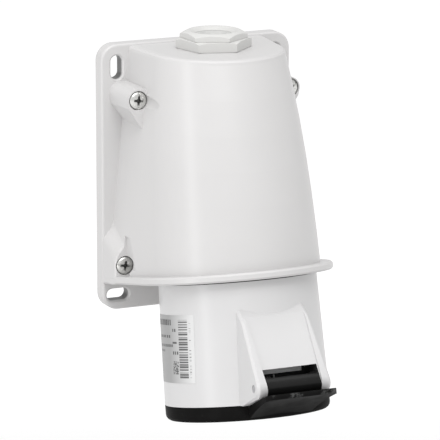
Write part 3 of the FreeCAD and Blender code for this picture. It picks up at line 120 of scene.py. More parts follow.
class Value:
    """A socket of the shader that adds its own Math nodes when it is reckoned with."""

    def __init__(self, finish, socket):
        self.finish = finish
        self.socket = socket

    def maths(self, operation, first, second=0.0):
        return self.finish.node("ShaderNodeMath", {"operation": operation}, {0: first, 1: second})

    def __add__(self, other):
        return self.maths("ADD", self, other)

    __radd__ = __add__

    def __sub__(self, other):
        return self.maths("SUBTRACT", self, other)

    def __rsub__(self, other):
        return self.maths("SUBTRACT", other, self)

    def __mul__(self, other):
        return self.maths("MULTIPLY", self, other)

    __rmul__ = __mul__

    def __gt__(self, other):
        return self.maths("GREATER_THAN", self, other)

    def __lt__(self, other):
        return self.maths("LESS_THAN", self, other)

    def fraction(self):
        return self.maths("FRACT", self)

    def whole(self):
        return self.maths("FLOOR", self)

    def size(self):
        return self.maths("ABSOLUTE", self)

    def most(self, other):
        return self.maths("MAXIMUM", self, other)

    def ramp(self, low, high):
        """0 below low, 1 above high and even between them."""
        sockets = {"Value": self, "From Min": low, "From Max": high}
        return self.finish.node("ShaderNodeMapRange", {"clamp": True}, sockets)


class Finish:
    """One material: its shader, its object coordinates and the one method that adds any node."""

    def __init__(self, name, **constants):
        self.material = bpy.data.materials.new(name)
        self.material.use_nodes = True
        self.tree = self.material.node_tree
        self.shader = self.tree.nodes["Principled BSDF"]
        self.set(**constants)

    def set(self, **inputs):
        for socket, value in inputs.items():
            self.feed(self.shader.inputs[socket.replace("_", " ")], value)

    def feed(self, socket, value):
        if isinstance(value, Value):
            self.tree.links.new(value.socket, socket)
        else:
            socket.default_value = value

    def node(self, kind, settings=None, sockets=None, output=0):
        made = self.tree.nodes.new(kind)
        for setting, value in (settings or {}).items():
            setattr(made, setting, value)
        for socket, value in (sockets or {}).items():
            self.feed(made.inputs[socket], value)
        return Value(self, made.outputs[output])

    def place(self):
        return self.node("ShaderNodeTexCoord", output="Object")

    def axes(self, where):
        """The three numbers of a place, as values."""
        return [self.node("ShaderNodeSeparateXYZ", None, {0: where}, axis) for axis in "XYZ"]

    def along(self, where, way):
        """How far a place lies along a unit direction from the barrel's mouth, in metres."""
        product = {"operation": "DOT_PRODUCT"}
        return self.node("ShaderNodeVectorMath", product, {0: where, 1: way}, "Value") - MOUTH.dot(way)

    def noise(self, scale, detail=2.0, roughness=0.5):
        sockets = {"Vector": self.place(), "Scale": scale, "Detail": detail, "Roughness": roughness}
        return self.node("ShaderNodeTexNoise", None, sockets, "Fac")

    def scatter(self, number):
        """Random number from 0 to 1 that stays the same for the same number."""
        return self.node("ShaderNodeTexWhiteNoise", {"noise_dimensions": "1D"}, {"W": number}, "Value")

    def blend(self, factor, first, second):
        """Mix of two colours."""
        sockets = {"Factor": factor, MIX_FIRST: first, MIX_SECOND: second}
        return self.node("ShaderNodeMix", {"data_type": "RGBA"}, sockets, MIX_RESULT)

    def tint(self, skin, mask, share, level):
        """Skin with a share of plain grey over it where the mask is 1."""
        return self.blend(mask * share, skin, grey(level))

    def relief(self, height, depth):
        """Bump of a height field, with its full depth in metres."""
        self.set(Normal=self.node("ShaderNodeBump", None, {"Height": height, "Distance": depth}, "Normal"))


def shade(colour, factor):
    return tuple(part * factor for part in colour) + (1.0,)


def grey(level):
    return (level, level, level, 1.0)


# Finishes

def moulded(name, colour, roughness, hinge_window=False, slots=False):
    """Injection-moulded plastic: fine eroded grain, slight flow marks and uneven gloss."""
    finish = Finish(name, IOR=1.49)
    flow_spread = 0.03
    gloss_spread = 0.04
    window_inside_roughness = 0.9
    flow = finish.noise(scale=22.0, detail=3.0, roughness=0.55)
    skin = finish.blend(flow, shade(colour, 1 - flow_spread), shade(colour, 1 + flow_spread))
    gloss = roughness - gloss_spread + 2 * gloss_spread * finish.noise(scale=90.0)
    if hinge_window:
        inside, painted_light_band = window_masks(finish)
        # Painted shade inside the hinge window, with a band of painted light near its top
        painted_window_shade_and_light = finish.tint(grey(0.012), painted_light_band, share=1.0, level=0.88)
        skin = finish.blend(inside, skin, painted_window_shade_and_light)
        gloss = gloss.most(inside * window_inside_roughness)
    if slots:
        # Painted shade on the deep walls of the fixing slots
        skin = finish.tint(skin, slot_shade_mask(finish), share=0.85, level=0.06)
    finish.set(Base_Color=skin, Roughness=gloss)
    grain_scale = 1500.0
    ripple_share = 0.35
    grain = finish.noise(grain_scale, detail=3.0, roughness=0.6)
    ripple = finish.noise(grain_scale / 9, detail=1.0)
    finish.relief(grain + ripple_share * ripple, depth=0.012 * MM)
    return finish.material


def window_masks(finish):
    """Masks of the hinge window's walls, painted dark as shade, and of the band at their top, which is
    painted light.
    """
    where = finish.place()
    across = finish.along(where, ACROSS)
    height = finish.along(where, BARREL_UP)
    out = finish.along(where, BARREL_FRONT)
    half = WINDOW_HALF_WIDTH + SKIN
    ceiling = WINDOW_HEIGHT + SKIN
    inside = (across > -half) * (across < half) * (height < ceiling) * (out > MOUTH_RADIUS)
    painted_light_band = (across < LIT_BAND_RIGHT * half) * (height > LIT_BAND_LOW * ceiling)
    return inside, painted_light_band


def slot_shade_mask(finish):
    """Mask of the deep walls of the four fixing slots, upright above and level below, where shade is
    painted.
    """
    x, y, z = finish.axes(finish.place())
    beside = (x.size() - SLOT_SIDE).size()
    over = (z.size() - SLOT_RISE).size()
    upright = z > 0.0
    straight = SLOT_HALF_LENGTH - SLOT_HALF_WIDTH
    half_across = SLOT_HALF_LENGTH + SKIN - straight * upright
    half_along = SLOT_HALF_WIDTH + SKIN + straight * upright
    return (beside < half_across) * (over < half_along) * y.ramp(SLOT_DARK_FROM, SLOT_DARK_TO)


def scuffed_black(name):
    """Black plastic of the lid: satin, scuffed and dusty, with a shiny hinge roll and a tip lightened by
    wear and a painted highlight.
    """
    finish = Finish(name, IOR=1.06, Coat_Roughness=0.28, Coat_IOR=1.4)
    where = finish.place()
    out = finish.along(where, BARREL_FRONT)
    scuff = finish.noise(scale=420.0, detail=5.0, roughness=0.72).ramp(low=0.60, high=0.80)
    dust = finish.noise(scale=70.0, detail=3.0, roughness=0.6).ramp(low=0.45, high=0.75)
    chafe_and_glint = finish.noise(scale=120.0, detail=4.0, roughness=0.7).ramp(low=0.5, high=0.6)
    # Wear and a painted highlight: lighter along the lever's tip
    rubbed_and_highlight = out.ramp(LEVER_TIP - TIP_LIGHTENING_START, LEVER_TIP - TIP_LIGHTENING_FULL) * chafe_and_glint
    clean = (0.0085, 0.0083, 0.0082, 1.0)
    skin = finish.tint(clean, scuff, share=0.4, level=0.04)
    skin = finish.tint(skin, dust, share=0.3, level=0.018)
    finish.set(Base_Color=finish.tint(skin, rubbed_and_highlight, share=0.6, level=0.13))
    satin_roughness = 0.36
    dust_roughness = 0.2
    scuff_roughness = 0.15
    finish.set(Roughness=satin_roughness + dust_roughness * dust + scuff_roughness * scuff)
    forward = out - ROLL_OUT
    rise = finish.along(where, BARREL_UP) - ROLL_HEIGHT
    on_roll = forward * forward + rise * rise < ROLL_REACH ** 2
    finish.set(Coat_Weight=on_roll * ROLL_SHINE)
    finish.relief(finish.noise(scale=1300.0, detail=3.0, roughness=0.6), depth=0.015 * MM)
    return finish.material


def plated(name, colour, roughness, blotch, darkened_recess=False):
    """Zinc-plated, drawn or turned metal, cloudy and finely rough, darkened by dirt and painted shade where
    a point attribute says so.
    """
    finish = Finish(name, Metallic=1.0)
    cloud = finish.noise(scale=700.0, detail=4.0, roughness=0.65)
    skin = finish.blend(cloud, shade(colour, 1 - blotch), shade(colour, 1 + blotch))
    gloss_spread = 0.1
    dirt_and_shade_tone = 0.12
    if darkened_recess:
        dirt_and_shade = finish.node("ShaderNodeAttribute", {"attribute_name": "dirt_and_shade"}, output="Fac")
        # Dirt and painted shade: darker deeper in the screw head's recess
        skin = finish.blend(dirt_and_shade, skin, shade(colour, dirt_and_shade_tone))
    gloss = roughness - gloss_spread + 2 * gloss_spread * finish.noise(scale=1800.0)
    finish.set(Base_Color=skin, Roughness=gloss)
    finish.relief(finish.noise(scale=3500.0), depth=0.01 * MM)
    return finish.material


def rubbery(name, colour):
    """Sealing rubber: matt, with a little dust and a fine grain."""
    finish = Finish(name, IOR=1.45)
    clean_tone = 0.85
    dusty_tone = 1.25
    matt_roughness = 0.62
    gloss_spread = 0.1
    dust = finish.noise(scale=260.0, detail=4.0, roughness=0.7)
    finish.set(Base_Color=finish.blend(dust, shade(colour, clean_tone), shade(colour, dusty_tone)))
    finish.set(Roughness=matt_roughness + gloss_spread * finish.noise(scale=900.0))
    finish.relief(finish.noise(scale=2200.0, detail=3.0), depth=0.02 * MM)
    return finish.material


# Rows of dashes on the label, in shares of it: left, right, low, high; then how many, and the gap's share
DASH_ROWS = (
    (0.0, 0.535, 0.85, 0.935, 9.0, 0.16),
    (0.535, 0.63, 0.755, 0.80, 2.0, 0.3),
    (0.07, 0.49, 0.665, 0.705, 6.0, 0.25),
    (0.535, 0.655, 0.58, 0.608, 1.0, 0.05),
    (0.07, 0.56, 0.53, 0.57, 10.0, 0.22),
    (0.07, 0.27, 0.455, 0.49, 4.0, 0.25),
    (0.53, 0.68, 0.42, 0.467, 3.0, 0.25),
)


def printed_label():
    """Silvery label with plain dashes, a column of bars and a plain block; its silver is darker towards the
    back edge as a painted reflection.
    """
    finish = Finish("printed label", IOR=1.45)
    across, up, _ = finish.axes(finish.node("ShaderNodeTexCoord", output="UV"))

    def panel(left, right, low, high):
        return (across > left) * (across < right) * (up > low) * (up < high)

    def dashes(left, right, low, high, count, gap):
        """One row of dashes with gaps between them, each shorter by its own amount."""
        step = (across - left) * (count / (right - left))
        row_number = 10.0 * low
        most_cut = 0.3
        shorter = finish.scatter(step.whole() + row_number) * most_cut
        return panel(left, right, low, high) * (step.fraction() > gap) * (step.fraction() < 1.0 - shorter)

    def strokes(rows, thin, thick):
        """Bars one above another, each with its own thickness, and none where that is below 0."""
        row = up * rows
        return row.fraction() < thin + (thick - thin) * finish.scatter(row.whole())

    def cells(columns, rows, filled):
        """Small squares, of which a random share is filled."""
        column_number = 7.0 * (across * columns).whole()
        row_number = 131.0 * (up * rows).whole()
        return finish.scatter(column_number + row_number) > 1.0 - filled

    bars = strokes(rows=27.0, thin=0.25, thick=0.85) * panel(left=0.695, right=0.878, low=0.07, high=0.93)
    ticks = strokes(rows=40.0, thin=-0.4, thick=0.6) * panel(left=0.905, right=0.94, low=0.08, high=0.90)
    block = cells(columns=75.0, rows=55.0, filled=0.58)
    block = block * panel(left=0.535, right=0.675, low=0.13, high=0.32)
    tick_strength = 0.8
    ink = bars + block + ticks * tick_strength
    for row in DASH_ROWS:
        ink = ink + dashes(*row)
    # Painted reflection: the silver is darker towards the label's back edge
    silver_with_painted_reflection = finish.blend(across.ramp(low=0.45, high=0.95), grey(0.33), grey(0.68))
    finish.set(Base_Color=finish.tint(silver_with_painted_reflection, ink, share=0.85, level=0.035))
    silver_roughness = 0.38
    ink_roughness = 0.1
    finish.set(Roughness=silver_roughness + ink_roughness * ink)
    return finish.material


PAINT = {
    "enclosure": moulded("grey-white hood plastic", (0.595, 0.588, 0.586), roughness=0.32, slots=True),
    "barrel": moulded("white barrel plastic", (0.622, 0.618, 0.620), roughness=0.32, hinge_window=True),
    "black": scuffed_black("black lid plastic"),
    "carrier": moulded("dark contact insert", (0.045, 0.045, 0.05), roughness=0.5),
    "gland": moulded("gland plastic", (0.615, 0.613, 0.60), roughness=0.42),
    "rubber": rubbery("black sealing rubber", (0.02, 0.02, 0.02)),
    "grey_rubber": rubbery("pale gland seal", (0.52, 0.52, 0.51)),
    "brass": plated("turned brass", (0.66, 0.49, 0.22), roughness=0.3, blotch=0.12),
    "zinc": plated("zinc-plated screw", (0.62, 0.625, 0.61), roughness=0.34, blotch=0.12),
    "steel": plated("drawn steel", (0.45, 0.45, 0.46), roughness=0.35, blotch=0.15),
}
SCREW_HEAD = plated("zinc-plated cover screw", (0.72, 0.72, 0.70), roughness=0.36, blotch=0.12, darkened_recess=True)

for part in frame["record"]["subparts"]:
    node = frame["nodes"][part["node"]]
    node.data.materials.clear()
    node.data.materials.append(PAINT[part["material_slot"]])


def mesh_piece(name, points, faces, material):
    mesh = bpy.data.meshes.new(name)
    mesh.from_pydata(points, [], faces)
    mesh.materials.append(material)
    piece = bpy.data.objects.new(name, mesh)
    bpy.context.scene.collection.objects.link(piece)
    return piece


def smooth(mesh, sharp_angle):
    """Smooth shading, with the edges left sharp that turn by more than an angle in degrees."""
    mesh.polygons.foreach_set("use_smooth", [True] * len(mesh.polygons))
    mesh.set_sharp_from_angle(angle=math.radians(sharp_angle))


# Rating label on the barrel's left flank: clock angles in degrees, heights above the mouth
LABEL_FRONT = -60.5
LABEL_BACK = -109.0
LABEL_SKEW = 2.0
LABEL_LOW = 12.0 * MM
LABEL_HIGH = 45.5 * MM
LABEL_THICKNESS = 0.12 * MM
LABEL_GLUE = 0.012 * MM
LABEL_COLUMNS = 36
LABEL_ROWS = 8


def rating_label():
    """Thin label wrapped round the barrel: an inner and an outer layer, joined round the edge."""
    columns = LABEL_COLUMNS
    rows = LABEL_ROWS
    points = []
    places = []
    for layer in (0, 1):
        for i in range(columns + 1):
            for j in range(rows + 1):
                across = i / columns
                up = j / rows
                clock = LABEL_BACK + (LABEL_FRONT + LABEL_SKEW * up - LABEL_BACK) * across
                height = LABEL_LOW + (LABEL_HIGH - LABEL_LOW) * up
                points.append(on_barrel(clock, height, LABEL_GLUE + LABEL_THICKNESS * layer))
                places.append((across, up))

    def spot(i, j, layer):
        return (layer * (columns + 1) + i) * (rows + 1) + j

    faces = []
    for i in range(columns):
        for j in range(rows):
            faces.append((spot(i, j, 1), spot(i + 1, j, 1), spot(i + 1, j + 1, 1), spot(i, j + 1, 1)))
            faces.append((spot(i, j, 0), spot(i, j + 1, 0), spot(i + 1, j + 1, 0), spot(i + 1, j, 0)))
    for i in range(columns):
        faces.append((spot(i, 0, 0), spot(i + 1, 0, 0), spot(i + 1, 0, 1), spot(i, 0, 1)))
        faces.append((spot(i, rows, 1), spot(i + 1, rows, 1), spot(i + 1, rows, 0), spot(i, rows, 0)))
    last = columns
    for j in range(rows):
        faces.append((spot(0, j, 1), spot(0, j + 1, 1), spot(0, j + 1, 0), spot(0, j, 0)))
        faces.append((spot(last, j, 0), spot(last, j + 1, 0), spot(last, j + 1, 1), spot(last, j, 1)))
    label = mesh_piece("rating_label", points, faces, printed_label())
    wrap = label.data.uv_layers.new(name="print")
    for loop in label.data.loops:
        wrap.data[loop.index].uv = places[loop.vertex_index]
    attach(label, "enclosure")


# Cover screws, in mm: pan head, shank and thread
HEAD_RADIUS = 4.45
HEAD_HEIGHT = 2.6
HEAD_EDGE = 0.12
RIM_SHARE = 0.52
CROWN_FULLNESS = 3.4
CROWN_ROUNDING = 0.55
SHANK_RADIUS = 2.0
SHANK_FLARE = 0.15
SHANK_FLARE_DEPTH = 0.2
THREAD_PITCH = 0.7
THREAD_DEPTH = 0.3
THREAD_START = -0.6
TIP_LENGTH = 1.2
TIP_CHAMFER = 0.5

# Their drive recess, in mm: a slot, four arms that taper and rise outwards, a heart and fine ticks
DRIVE_SLOT_DEPTH = 0.55
DRIVE_SLOT_HALF = 0.42
ARM_DEPTH = 1.75
ARM_RISE = 0.35
ARM_HALF = 0.66
ARM_TAPER = 0.07
ARM_REACH = 2.4
HEART_DEPTH = 1.9
HEART_REACH = 1.6
TICK_DEPTH = 0.14
TICK_HALF = 0.1
TICK_MIDDLE = 1.6
TICK_REACH = 0.55

# Dirt and painted shade in the recess, in mm: the depth where the darkening starts, over how much it
# deepens, its least height
DARK_RECESS_START = 0.45
DARK_RECESS_SPAN = 0.9
DARK_RECESS_LOW = 0.2


def soft_step(value, edge):
    """1 well below an edge and 0 well above it, both in mm."""
    width = 0.05
    share = min(1.0, max(0.0, (edge + width - value) / (2 * width)))
    return share * share * (3 - 2 * share)


def recess_depth(x, y):
    """Depth in mm of the head's combined slot and cross recess at a place on its face."""
    reach = max(abs(x), abs(y))
    narrow = min(abs(x), abs(y))
    slot = DRIVE_SLOT_DEPTH * soft_step(abs(y), DRIVE_SLOT_HALF)
    arm = soft_step(narrow, ARM_HALF - ARM_TAPER * reach) * soft_step(reach, ARM_REACH)
    arms = (ARM_DEPTH - ARM_RISE * reach) * arm
    heart = HEART_DEPTH * soft_step(abs(x) + abs(y), HEART_REACH)
    tick = soft_step(abs(abs(x) - abs(y)), TICK_HALF) * soft_step(abs(reach - TICK_MIDDLE), TICK_REACH)
    return max(slot, arms, heart, TICK_DEPTH * tick)


def face_height(radius):
    """Height in mm of the pan head's face above its seat."""
    crown = max(0.0, 1 - (radius / HEAD_RADIUS) ** CROWN_FULLNESS) ** CROWN_ROUNDING
    return HEAD_HEIGHT * (RIM_SHARE + (1 - RIM_SHARE) * crown)


def screw_form(length):
    """Closed form of one cover screw: seat at z = 0, head upwards, shank down by a length in mm."""
    turns = 120
    recess_count = 28
    recess_step = 0.09
    recess_rings = [recess_step * i for i in range(1, recess_count + 1)]
    rim_rings = [2.7, 2.95, 3.2, 3.45, 3.7, 3.9, 4.07, 4.2, 4.3, 4.38, 4.43]
    profile = [(HEAD_RADIUS, face_height(HEAD_RADIUS)), (HEAD_RADIUS, HEAD_EDGE)]
    profile += [(HEAD_RADIUS - HEAD_EDGE, 0.0), (SHANK_RADIUS + SHANK_FLARE, 0.0)]
    profile += [(SHANK_RADIUS, -SHANK_FLARE_DEPTH)]
    depth = THREAD_START
    while depth > -length + TIP_LENGTH:
        profile += [(SHANK_RADIUS - THREAD_DEPTH, depth), (SHANK_RADIUS, depth - THREAD_PITCH / 2)]
        depth -= THREAD_PITCH
    profile += [(SHANK_RADIUS - TIP_CHAMFER, -length)]
    rings = [(radius, None) for radius in recess_rings + rim_rings] + profile
    points = [(0.0, 0.0, face_height(0.0) - recess_depth(0, 0))]
    for radius, height in rings:
        for turn in range(turns):
            angle = 2 * math.pi * turn / turns
            x = radius * math.cos(angle)
            y = radius * math.sin(angle)
            z = face_height(radius) - recess_depth(x, y) if height is None else height
            points.append((x, y, z))
    points.append((0.0, 0.0, -length))
    last = len(points) - 1
    faces = []
    for turn in range(turns):
        after = (turn + 1) % turns
        faces.append((0, 1 + turn, 1 + after))
        for ring in range(len(rings) - 1):
            start = 1 + ring * turns
            faces.append((start + turn, start + turns + turn, start + turns + after, start + after))
        base = 1 + (len(rings) - 1) * turns
        faces.append((base + turn, last, base + after))
    mesh = bpy.data.meshes.new("cover screw form")
    mesh.from_pydata([(x * MM, y * MM, z * MM) for x, y, z in points], [], faces)
    dirt_and_shade = mesh.attributes.new("dirt_and_shade", "FLOAT", "POINT")
    for i, (x, y, z) in enumerate(points):
        # Dirt and painted shade, darker the deeper the recess
        darkness = min(1.0, max(0.0, recess_depth(x, y) - DARK_RECESS_START) / DARK_RECESS_SPAN)
        dirt_and_shade.data[i].value = darkness if z > DARK_RECESS_LOW else 0.0
    smooth(mesh, sharp_angle=38)
    return bpy.data.objects.new("cover screw form", mesh)


def placing_tree():
    """Geometry nodes that stand a screw on every point, turned as the point says."""
    tree = bpy.data.node_groups.new("screws on their seats", "GeometryNodeTree")
    sides = (
        ("Seats", "INPUT", "NodeSocketGeometry"),
        ("Screw", "INPUT", "NodeSocketObject"),
        ("Scale", "INPUT", "NodeSocketFloat"),
        ("Plating", "INPUT", "NodeSocketMaterial"),
        ("Screws", "OUTPUT", "NodeSocketGeometry"),
    )
    for name, side, kind in sides:
        tree.interface.new_socket(name, in_out=side, socket_type=kind)

    def add(kind, links, **settings):
        made = tree.nodes.new(kind)
        for setting, value in settings.items():
            setattr(made, setting, value)
        for socket, source in links.items():
            tree.links.new(source, made.inputs[socket])
        return made

    given = add("NodeGroupInput", {})
    facing = add("GeometryNodeInputNamedAttribute", {}, data_type="FLOAT_VECTOR")
    facing.inputs["Name"].default_value = "facing"
    form = add("GeometryNodeObjectInfo", {"Object": given.outputs["Screw"]})
    stood = add("GeometryNodeInstanceOnPoints", {
        "Points": given.outputs["Seats"],
        "Instance": form.outputs["Geometry"],
        "Rotation": facing.outputs["Attribute"],
        "Scale": given.outputs["Scale"],
    })
    real = add("GeometryNodeRealizeInstances", {"Geometry": stood.outputs["Instances"]})
    coated = add("GeometryNodeSetMaterial", {
        "Geometry": real.outputs["Geometry"],
        "Material": given.outputs["Plating"],
    })
    add("NodeGroupOutput", {"Screws": coated.outputs["Geometry"]})
    return tree


def cover_screws(node, spins):
    """Detailed screws in place of a pair of plain ones: left and right, each turned by its own angle."""
    low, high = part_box(node)
    reach = (high[1] - low[1]) / MM
    x = high[0] - HEAD_RADIUS * MM
    y = low[1] + HEAD_HEIGHT * MM
    z = (low[2] + high[2]) / 2
    seats = mesh_piece(node + "_seats", [(-x, y, z), (x, y, z)], [], PAINT["zinc"])
    facing = seats.data.attributes.new("facing", "FLOAT_VECTOR", "POINT")
    for i, spin in enumerate(spins):
        turn = Matrix.Rotation(math.radians(90), 3, "X") @ Matrix.Rotation(math.radians(spin), 3, "Z")
        facing.data[i].vector = turn.to_euler()
    form = screw_form(reach - HEAD_HEIGHT)
    bpy.context.scene.collection.objects.link(form)
    modifier = seats.modifiers.new("screws", "NODES")
    modifier.node_group = placing_tree()
    given = {"Screw": form, "Scale": 1.0, "Plating": SCREW_HEAD}
    for item in modifier.node_group.interface.items_tree:
        if item.name in given:
            modifier[item.identifier] = given[item.name]
    evaluated = seats.evaluated_get(bpy.context.evaluated_depsgraph_get())
    mesh = bpy.data.meshes.new_from_object(evaluated)
    screws = bpy.data.objects.new(node.replace("_screws", "_screw_pair"), mesh)
    bpy.context.scene.collection.objects.link(screws)
    seats.modifiers.remove(modifier)
    bpy.data.objects.remove(seats)
    bpy.data.objects.remove(form)
    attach(screws, "enclosure")
    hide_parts(node)


rating_label()
cover_screws("upper_cover_screws", (84.0, 31.0))
cover_screws("lower_cover_screws", (-8.0, 57.0))


# Cable gland: its axis, then sizes in mm and turns in degrees, with heights from the hood's top
GLAND_Y = -28.9 * MM
GLAND_BORE = 9.6
STEM_FOOT = -12.5
STEM_THREAD_START = -12.0
STEM_THREAD_END = -1.0
STEM_THREAD_PITCH = 1.5
STEM_CREST = 12.35
STEM_CREST_WIDTH = 0.2
STEM_ROOT = 11.7
STEM_PLAIN_FROM = -0.3
RING_GROOVE_INNER = 12.95
RING_GROOVE_OUTER = 14.95
RING_GROOVE_DEPTH = 1.2
COLLAR_FLATS = 33.0
COLLAR_TURN = -16.5
COLLAR_HEIGHT = 5.0
COLLAR_FOOT_REACH = 18.4
COLLAR_FOOT_INSET = 0.25
COLLAR_FOOT_HEIGHT = 0.35
COLLAR_EDGE = 0.1
COLLAR_CONE_FROM = 17.2
COLLAR_CONE_SLOPE = 0.45
COLLAR_FACE_RADIUS = 16.2
NECK_RADIUS = 11.6
NECK_TOP = 6.7
CAP_FLATS = 29.3
CAP_TURN = -26.0
CAP_TOP = 8.7
CAP_FOOT = COLLAR_HEIGHT + 0.02
CAP_BEVEL = 0.15
CAP_SKIRT_BORE = 11.9
CAP_CEILING = 6.85
CAP_CROWN = 13.4
CAP_CROWN_INSET = 0.25
CAP_CROWN_DROP = 0.06
CAP_EDGE = 0.1
CAP_CONE_SLOPE = 0.5
CAP_WAY_IN = 9.2

# Dish in the cap's face round its way in: radii, and how far each lies below the face
CAP_DISH = ((12.1, 0.0), (11.8, 0.06), (10.6, 0.75), (9.6, 1.35), (CAP_WAY_IN, 1.65))


def hexagon_reach(angle, flats, turn):
    """Distance in mm from a hexagon's centre to its side; the turn is that of one corner, in degrees."""
    off = (math.degrees(angle) - turn) % 60 - 30
    return flats / 2 / math.cos(math.radians(off))


def turned_ring(name, profile, flats, turn):
    """Closed ring about the gland's axis, from a profile of radii and heights in mm above the hood's top.

    A radius that is a function gets the hexagon's reach at each angle, and so does such a height.
    """
    turns = 180
    sharp_angle = 28
    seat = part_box("gland_cap")[1][2] - CAP_TOP * MM
    points = []
    faces = []
    for step in range(turns):
        angle = 2 * math.pi * step / turns + math.radians(turn)
        reach = hexagon_reach(angle, flats, turn)
        for radius, height in profile:
            r = (radius(reach) if callable(radius) else radius) * MM
            z = (height(reach) if callable(height) else height) * MM
            points.append((r * math.cos(angle), r * math.sin(angle) + GLAND_Y, z + seat))
    count = len(profile)
    for step in range(turns):
        here = step * count
        after = (step + 1) % turns * count
        for i in range(count):
            j = (i + 1) % count
            faces.append((here + i, after + i, after + j, here + j))
    piece = mesh_piece(name, points, faces, PAINT["gland"])
    smooth(piece.data, sharp_angle)
    return piece


def hexagon_side(reach):
    """Radius of a hexagon's plain side."""
    return reach


def collar_foot(reach):
    """Radius of the collar's foot, whose corners are cut round."""
    return min(reach, COLLAR_FOOT_REACH) - COLLAR_FOOT_INSET


def collar_edge(reach):
    """Height of the collar's side, lower where the cone cuts its corners."""
    return COLLAR_HEIGHT - COLLAR_EDGE - max(0.0, reach - COLLAR_CONE_FROM) * COLLAR_CONE_SLOPE


def cap_edge(reach):
    """Height of the cap's side, lower where the cone cuts its corners."""
    return CAP_TOP - CAP_EDGE - (reach - CAP_CROWN) * CAP_CONE_SLOPE


def cap_foot(reach):
    """Radius of the cap's foot inside its bevel."""
    return reach - CAP_BEVEL


def gland_stem():
    """Collar on the hood, neck for the cap and threaded shank, with the groove for the sealing ring."""
    profile = [(GLAND_BORE, STEM_FOOT), (NECK_RADIUS, STEM_FOOT)]
    height = STEM_THREAD_START
    while height < STEM_THREAD_END:
        profile += [(STEM_CREST, height), (STEM_CREST, height + STEM_CREST_WIDTH)]
        profile += [(STEM_ROOT, height + STEM_THREAD_PITCH / 2)]
        height += STEM_THREAD_PITCH
    profile += [(STEM_CREST, STEM_PLAIN_FROM), (STEM_CREST, 0.0), (RING_GROOVE_INNER, 0.0)]
    profile += [(RING_GROOVE_INNER, RING_GROOVE_DEPTH), (RING_GROOVE_OUTER, RING_GROOVE_DEPTH)]
    profile += [(RING_GROOVE_OUTER, 0.0), (collar_foot, 0.0), (hexagon_side, COLLAR_FOOT_HEIGHT)]
    profile += [(hexagon_side, collar_edge), (COLLAR_FACE_RADIUS, COLLAR_HEIGHT)]
    profile += [(NECK_RADIUS, COLLAR_HEIGHT), (NECK_RADIUS, NECK_TOP), (GLAND_BORE, NECK_TOP)]
    stem = turned_ring("gland_stem", profile, COLLAR_FLATS, COLLAR_TURN)
    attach(stem, "enclosure")
    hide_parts("gland_body")


def gland_cap():
    """Cap with a cone-cut hexagon and a dished way in for the cable."""
    profile = [(CAP_SKIRT_BORE, CAP_FOOT), (cap_foot, CAP_FOOT), (hexagon_side, CAP_FOOT + CAP_BEVEL)]
    profile += [(hexagon_side, cap_edge), (CAP_CROWN, CAP_TOP - CAP_CROWN_DROP)]
    profile += [(CAP_CROWN - CAP_CROWN_INSET, CAP_TOP)]
    profile += [(radius, CAP_TOP - drop) for radius, drop in CAP_DISH]
    profile += [(CAP_WAY_IN, CAP_CEILING), (CAP_SKIRT_BORE, CAP_CEILING)]
    cap = turned_ring("gland_hexagon_cap", profile, CAP_FLATS, CAP_TURN)
    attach(cap, "cap")
    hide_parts("gland_cap")


gland_stem()
gland_cap()


# Light and floor, with lengths in metres
LIGHT_AIM = Vector((0, -0.05, -0.02))
WORLD_LIGHT = 0.64
FLOOR_REACH = 7.0
FLOOR_DROP = 0.35
FLOOR_SHADE_END = 0.6
FLOOR_WHITE_FROM = 1.5
FLOOR_GLOW = 0.42

# Camera at the photograph's angle: turn and rise in degrees, place in metres, lens and frame shift
CAMERA_TURN = -24.08
CAMERA_RISE = 13.19
CAMERA_PLACE = (-0.7729, -1.7695, 0.4226)
CAMERA_SENSOR = 36.0
CAMERA_LENS = 318.4
CAMERA_SHIFT_X = -0.00634
CAMERA_SHIFT_Y = 0.0199


def away(turn, rise):
    """Unit direction at a turn to the right of the front and a rise, both in degrees."""
    turn = math.radians(turn)
    rise = math.radians(rise)
    return Vector((math.sin(turn) * math.cos(rise), -math.cos(turn) * math.cos(rise), math.sin(rise)))


def facing_back(direction):
    """Rotation of a light or a camera that stands in a direction and looks back along it."""
    return (-direction).to_track_quat("-Z", "Y").to_euler()


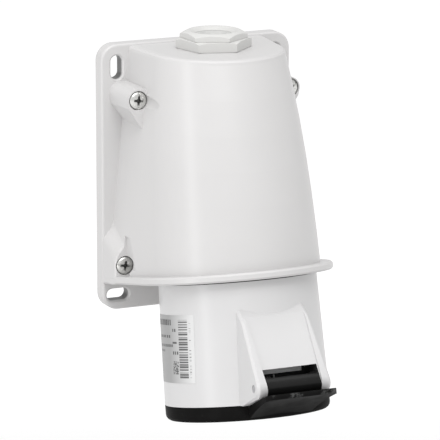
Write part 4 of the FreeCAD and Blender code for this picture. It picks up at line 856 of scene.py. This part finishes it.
def soft_light(name, turn, rise, distance, size, power):
    """Soft box that faces the part; its power is in watts and its size width by height."""
    lamp = bpy.data.lights.new(name, "AREA")
    lamp.shape = "RECTANGLE"
    lamp.size, lamp.size_y = size
    lamp.energy = power
    light = bpy.data.objects.new(name, lamp)
    direction = away(turn, rise)
    light.location = LIGHT_AIM + direction * distance
    light.rotation_euler = facing_back(direction)
    bpy.context.scene.collection.objects.link(light)


def studio():
    """Even pale surroundings, three soft boxes and a pale floor that is white further out."""
    world = bpy.data.worlds.new("studio")
    world.use_nodes = True
    background = world.node_tree.nodes["Background"]
    background.inputs["Color"].default_value = grey(1.0)
    background.inputs["Strength"].default_value = WORLD_LIGHT
    bpy.context.scene.world = world
    soft_light("window front", turn=-20, rise=50, distance=1.7, size=(1.0, 0.9), power=12.8)
    soft_light("strip left", turn=-74, rise=8, distance=1.3, size=(0.12, 1.3), power=3.6)
    soft_light("ceiling", turn=0, rise=88, distance=1.5, size=(1.3, 1.0), power=7.0)
    bpy.context.scene.view_settings.view_transform = "Standard"

    paper = Finish("pale floor", Roughness=0.9, Emission_Strength=FLOOR_GLOW)
    length = {"operation": "LENGTH"}
    distance = paper.node("ShaderNodeVectorMath", length, {0: paper.place()}, "Value")
    far = distance.ramp(FLOOR_SHADE_END, FLOOR_WHITE_FROM)
    white = paper.blend(paper.noise(scale=3.0), grey(0.90), grey(0.93))
    paper.set(Base_Color=paper.blend(far, grey(0.66), white))
    paper.set(Emission_Color=paper.blend(far, grey(0.0), grey(1.0)))
    reach = FLOOR_REACH
    depth = cad_box[0][2] - FLOOR_DROP
    corners = [(x * reach, y * reach, depth) for x, y in ((-1, -1), (1, -1), (1, 1), (-1, 1))]
    floor = mesh_piece("floor", corners, [(0, 1, 2, 3)], paper.material)


def photographer():
    """Camera that looks from left of the front and a little above."""
    lens = bpy.data.cameras.new("camera")
    lens.sensor_width = CAMERA_SENSOR
    lens.lens = CAMERA_LENS
    lens.shift_x = CAMERA_SHIFT_X
    lens.shift_y = CAMERA_SHIFT_Y
    camera = bpy.data.objects.new("camera", lens)
    camera.location = CAMERA_PLACE
    camera.rotation_euler = facing_back(away(CAMERA_TURN, CAMERA_RISE))
    bpy.context.scene.collection.objects.link(camera)
    bpy.context.scene.camera = camera


studio()
photographer()
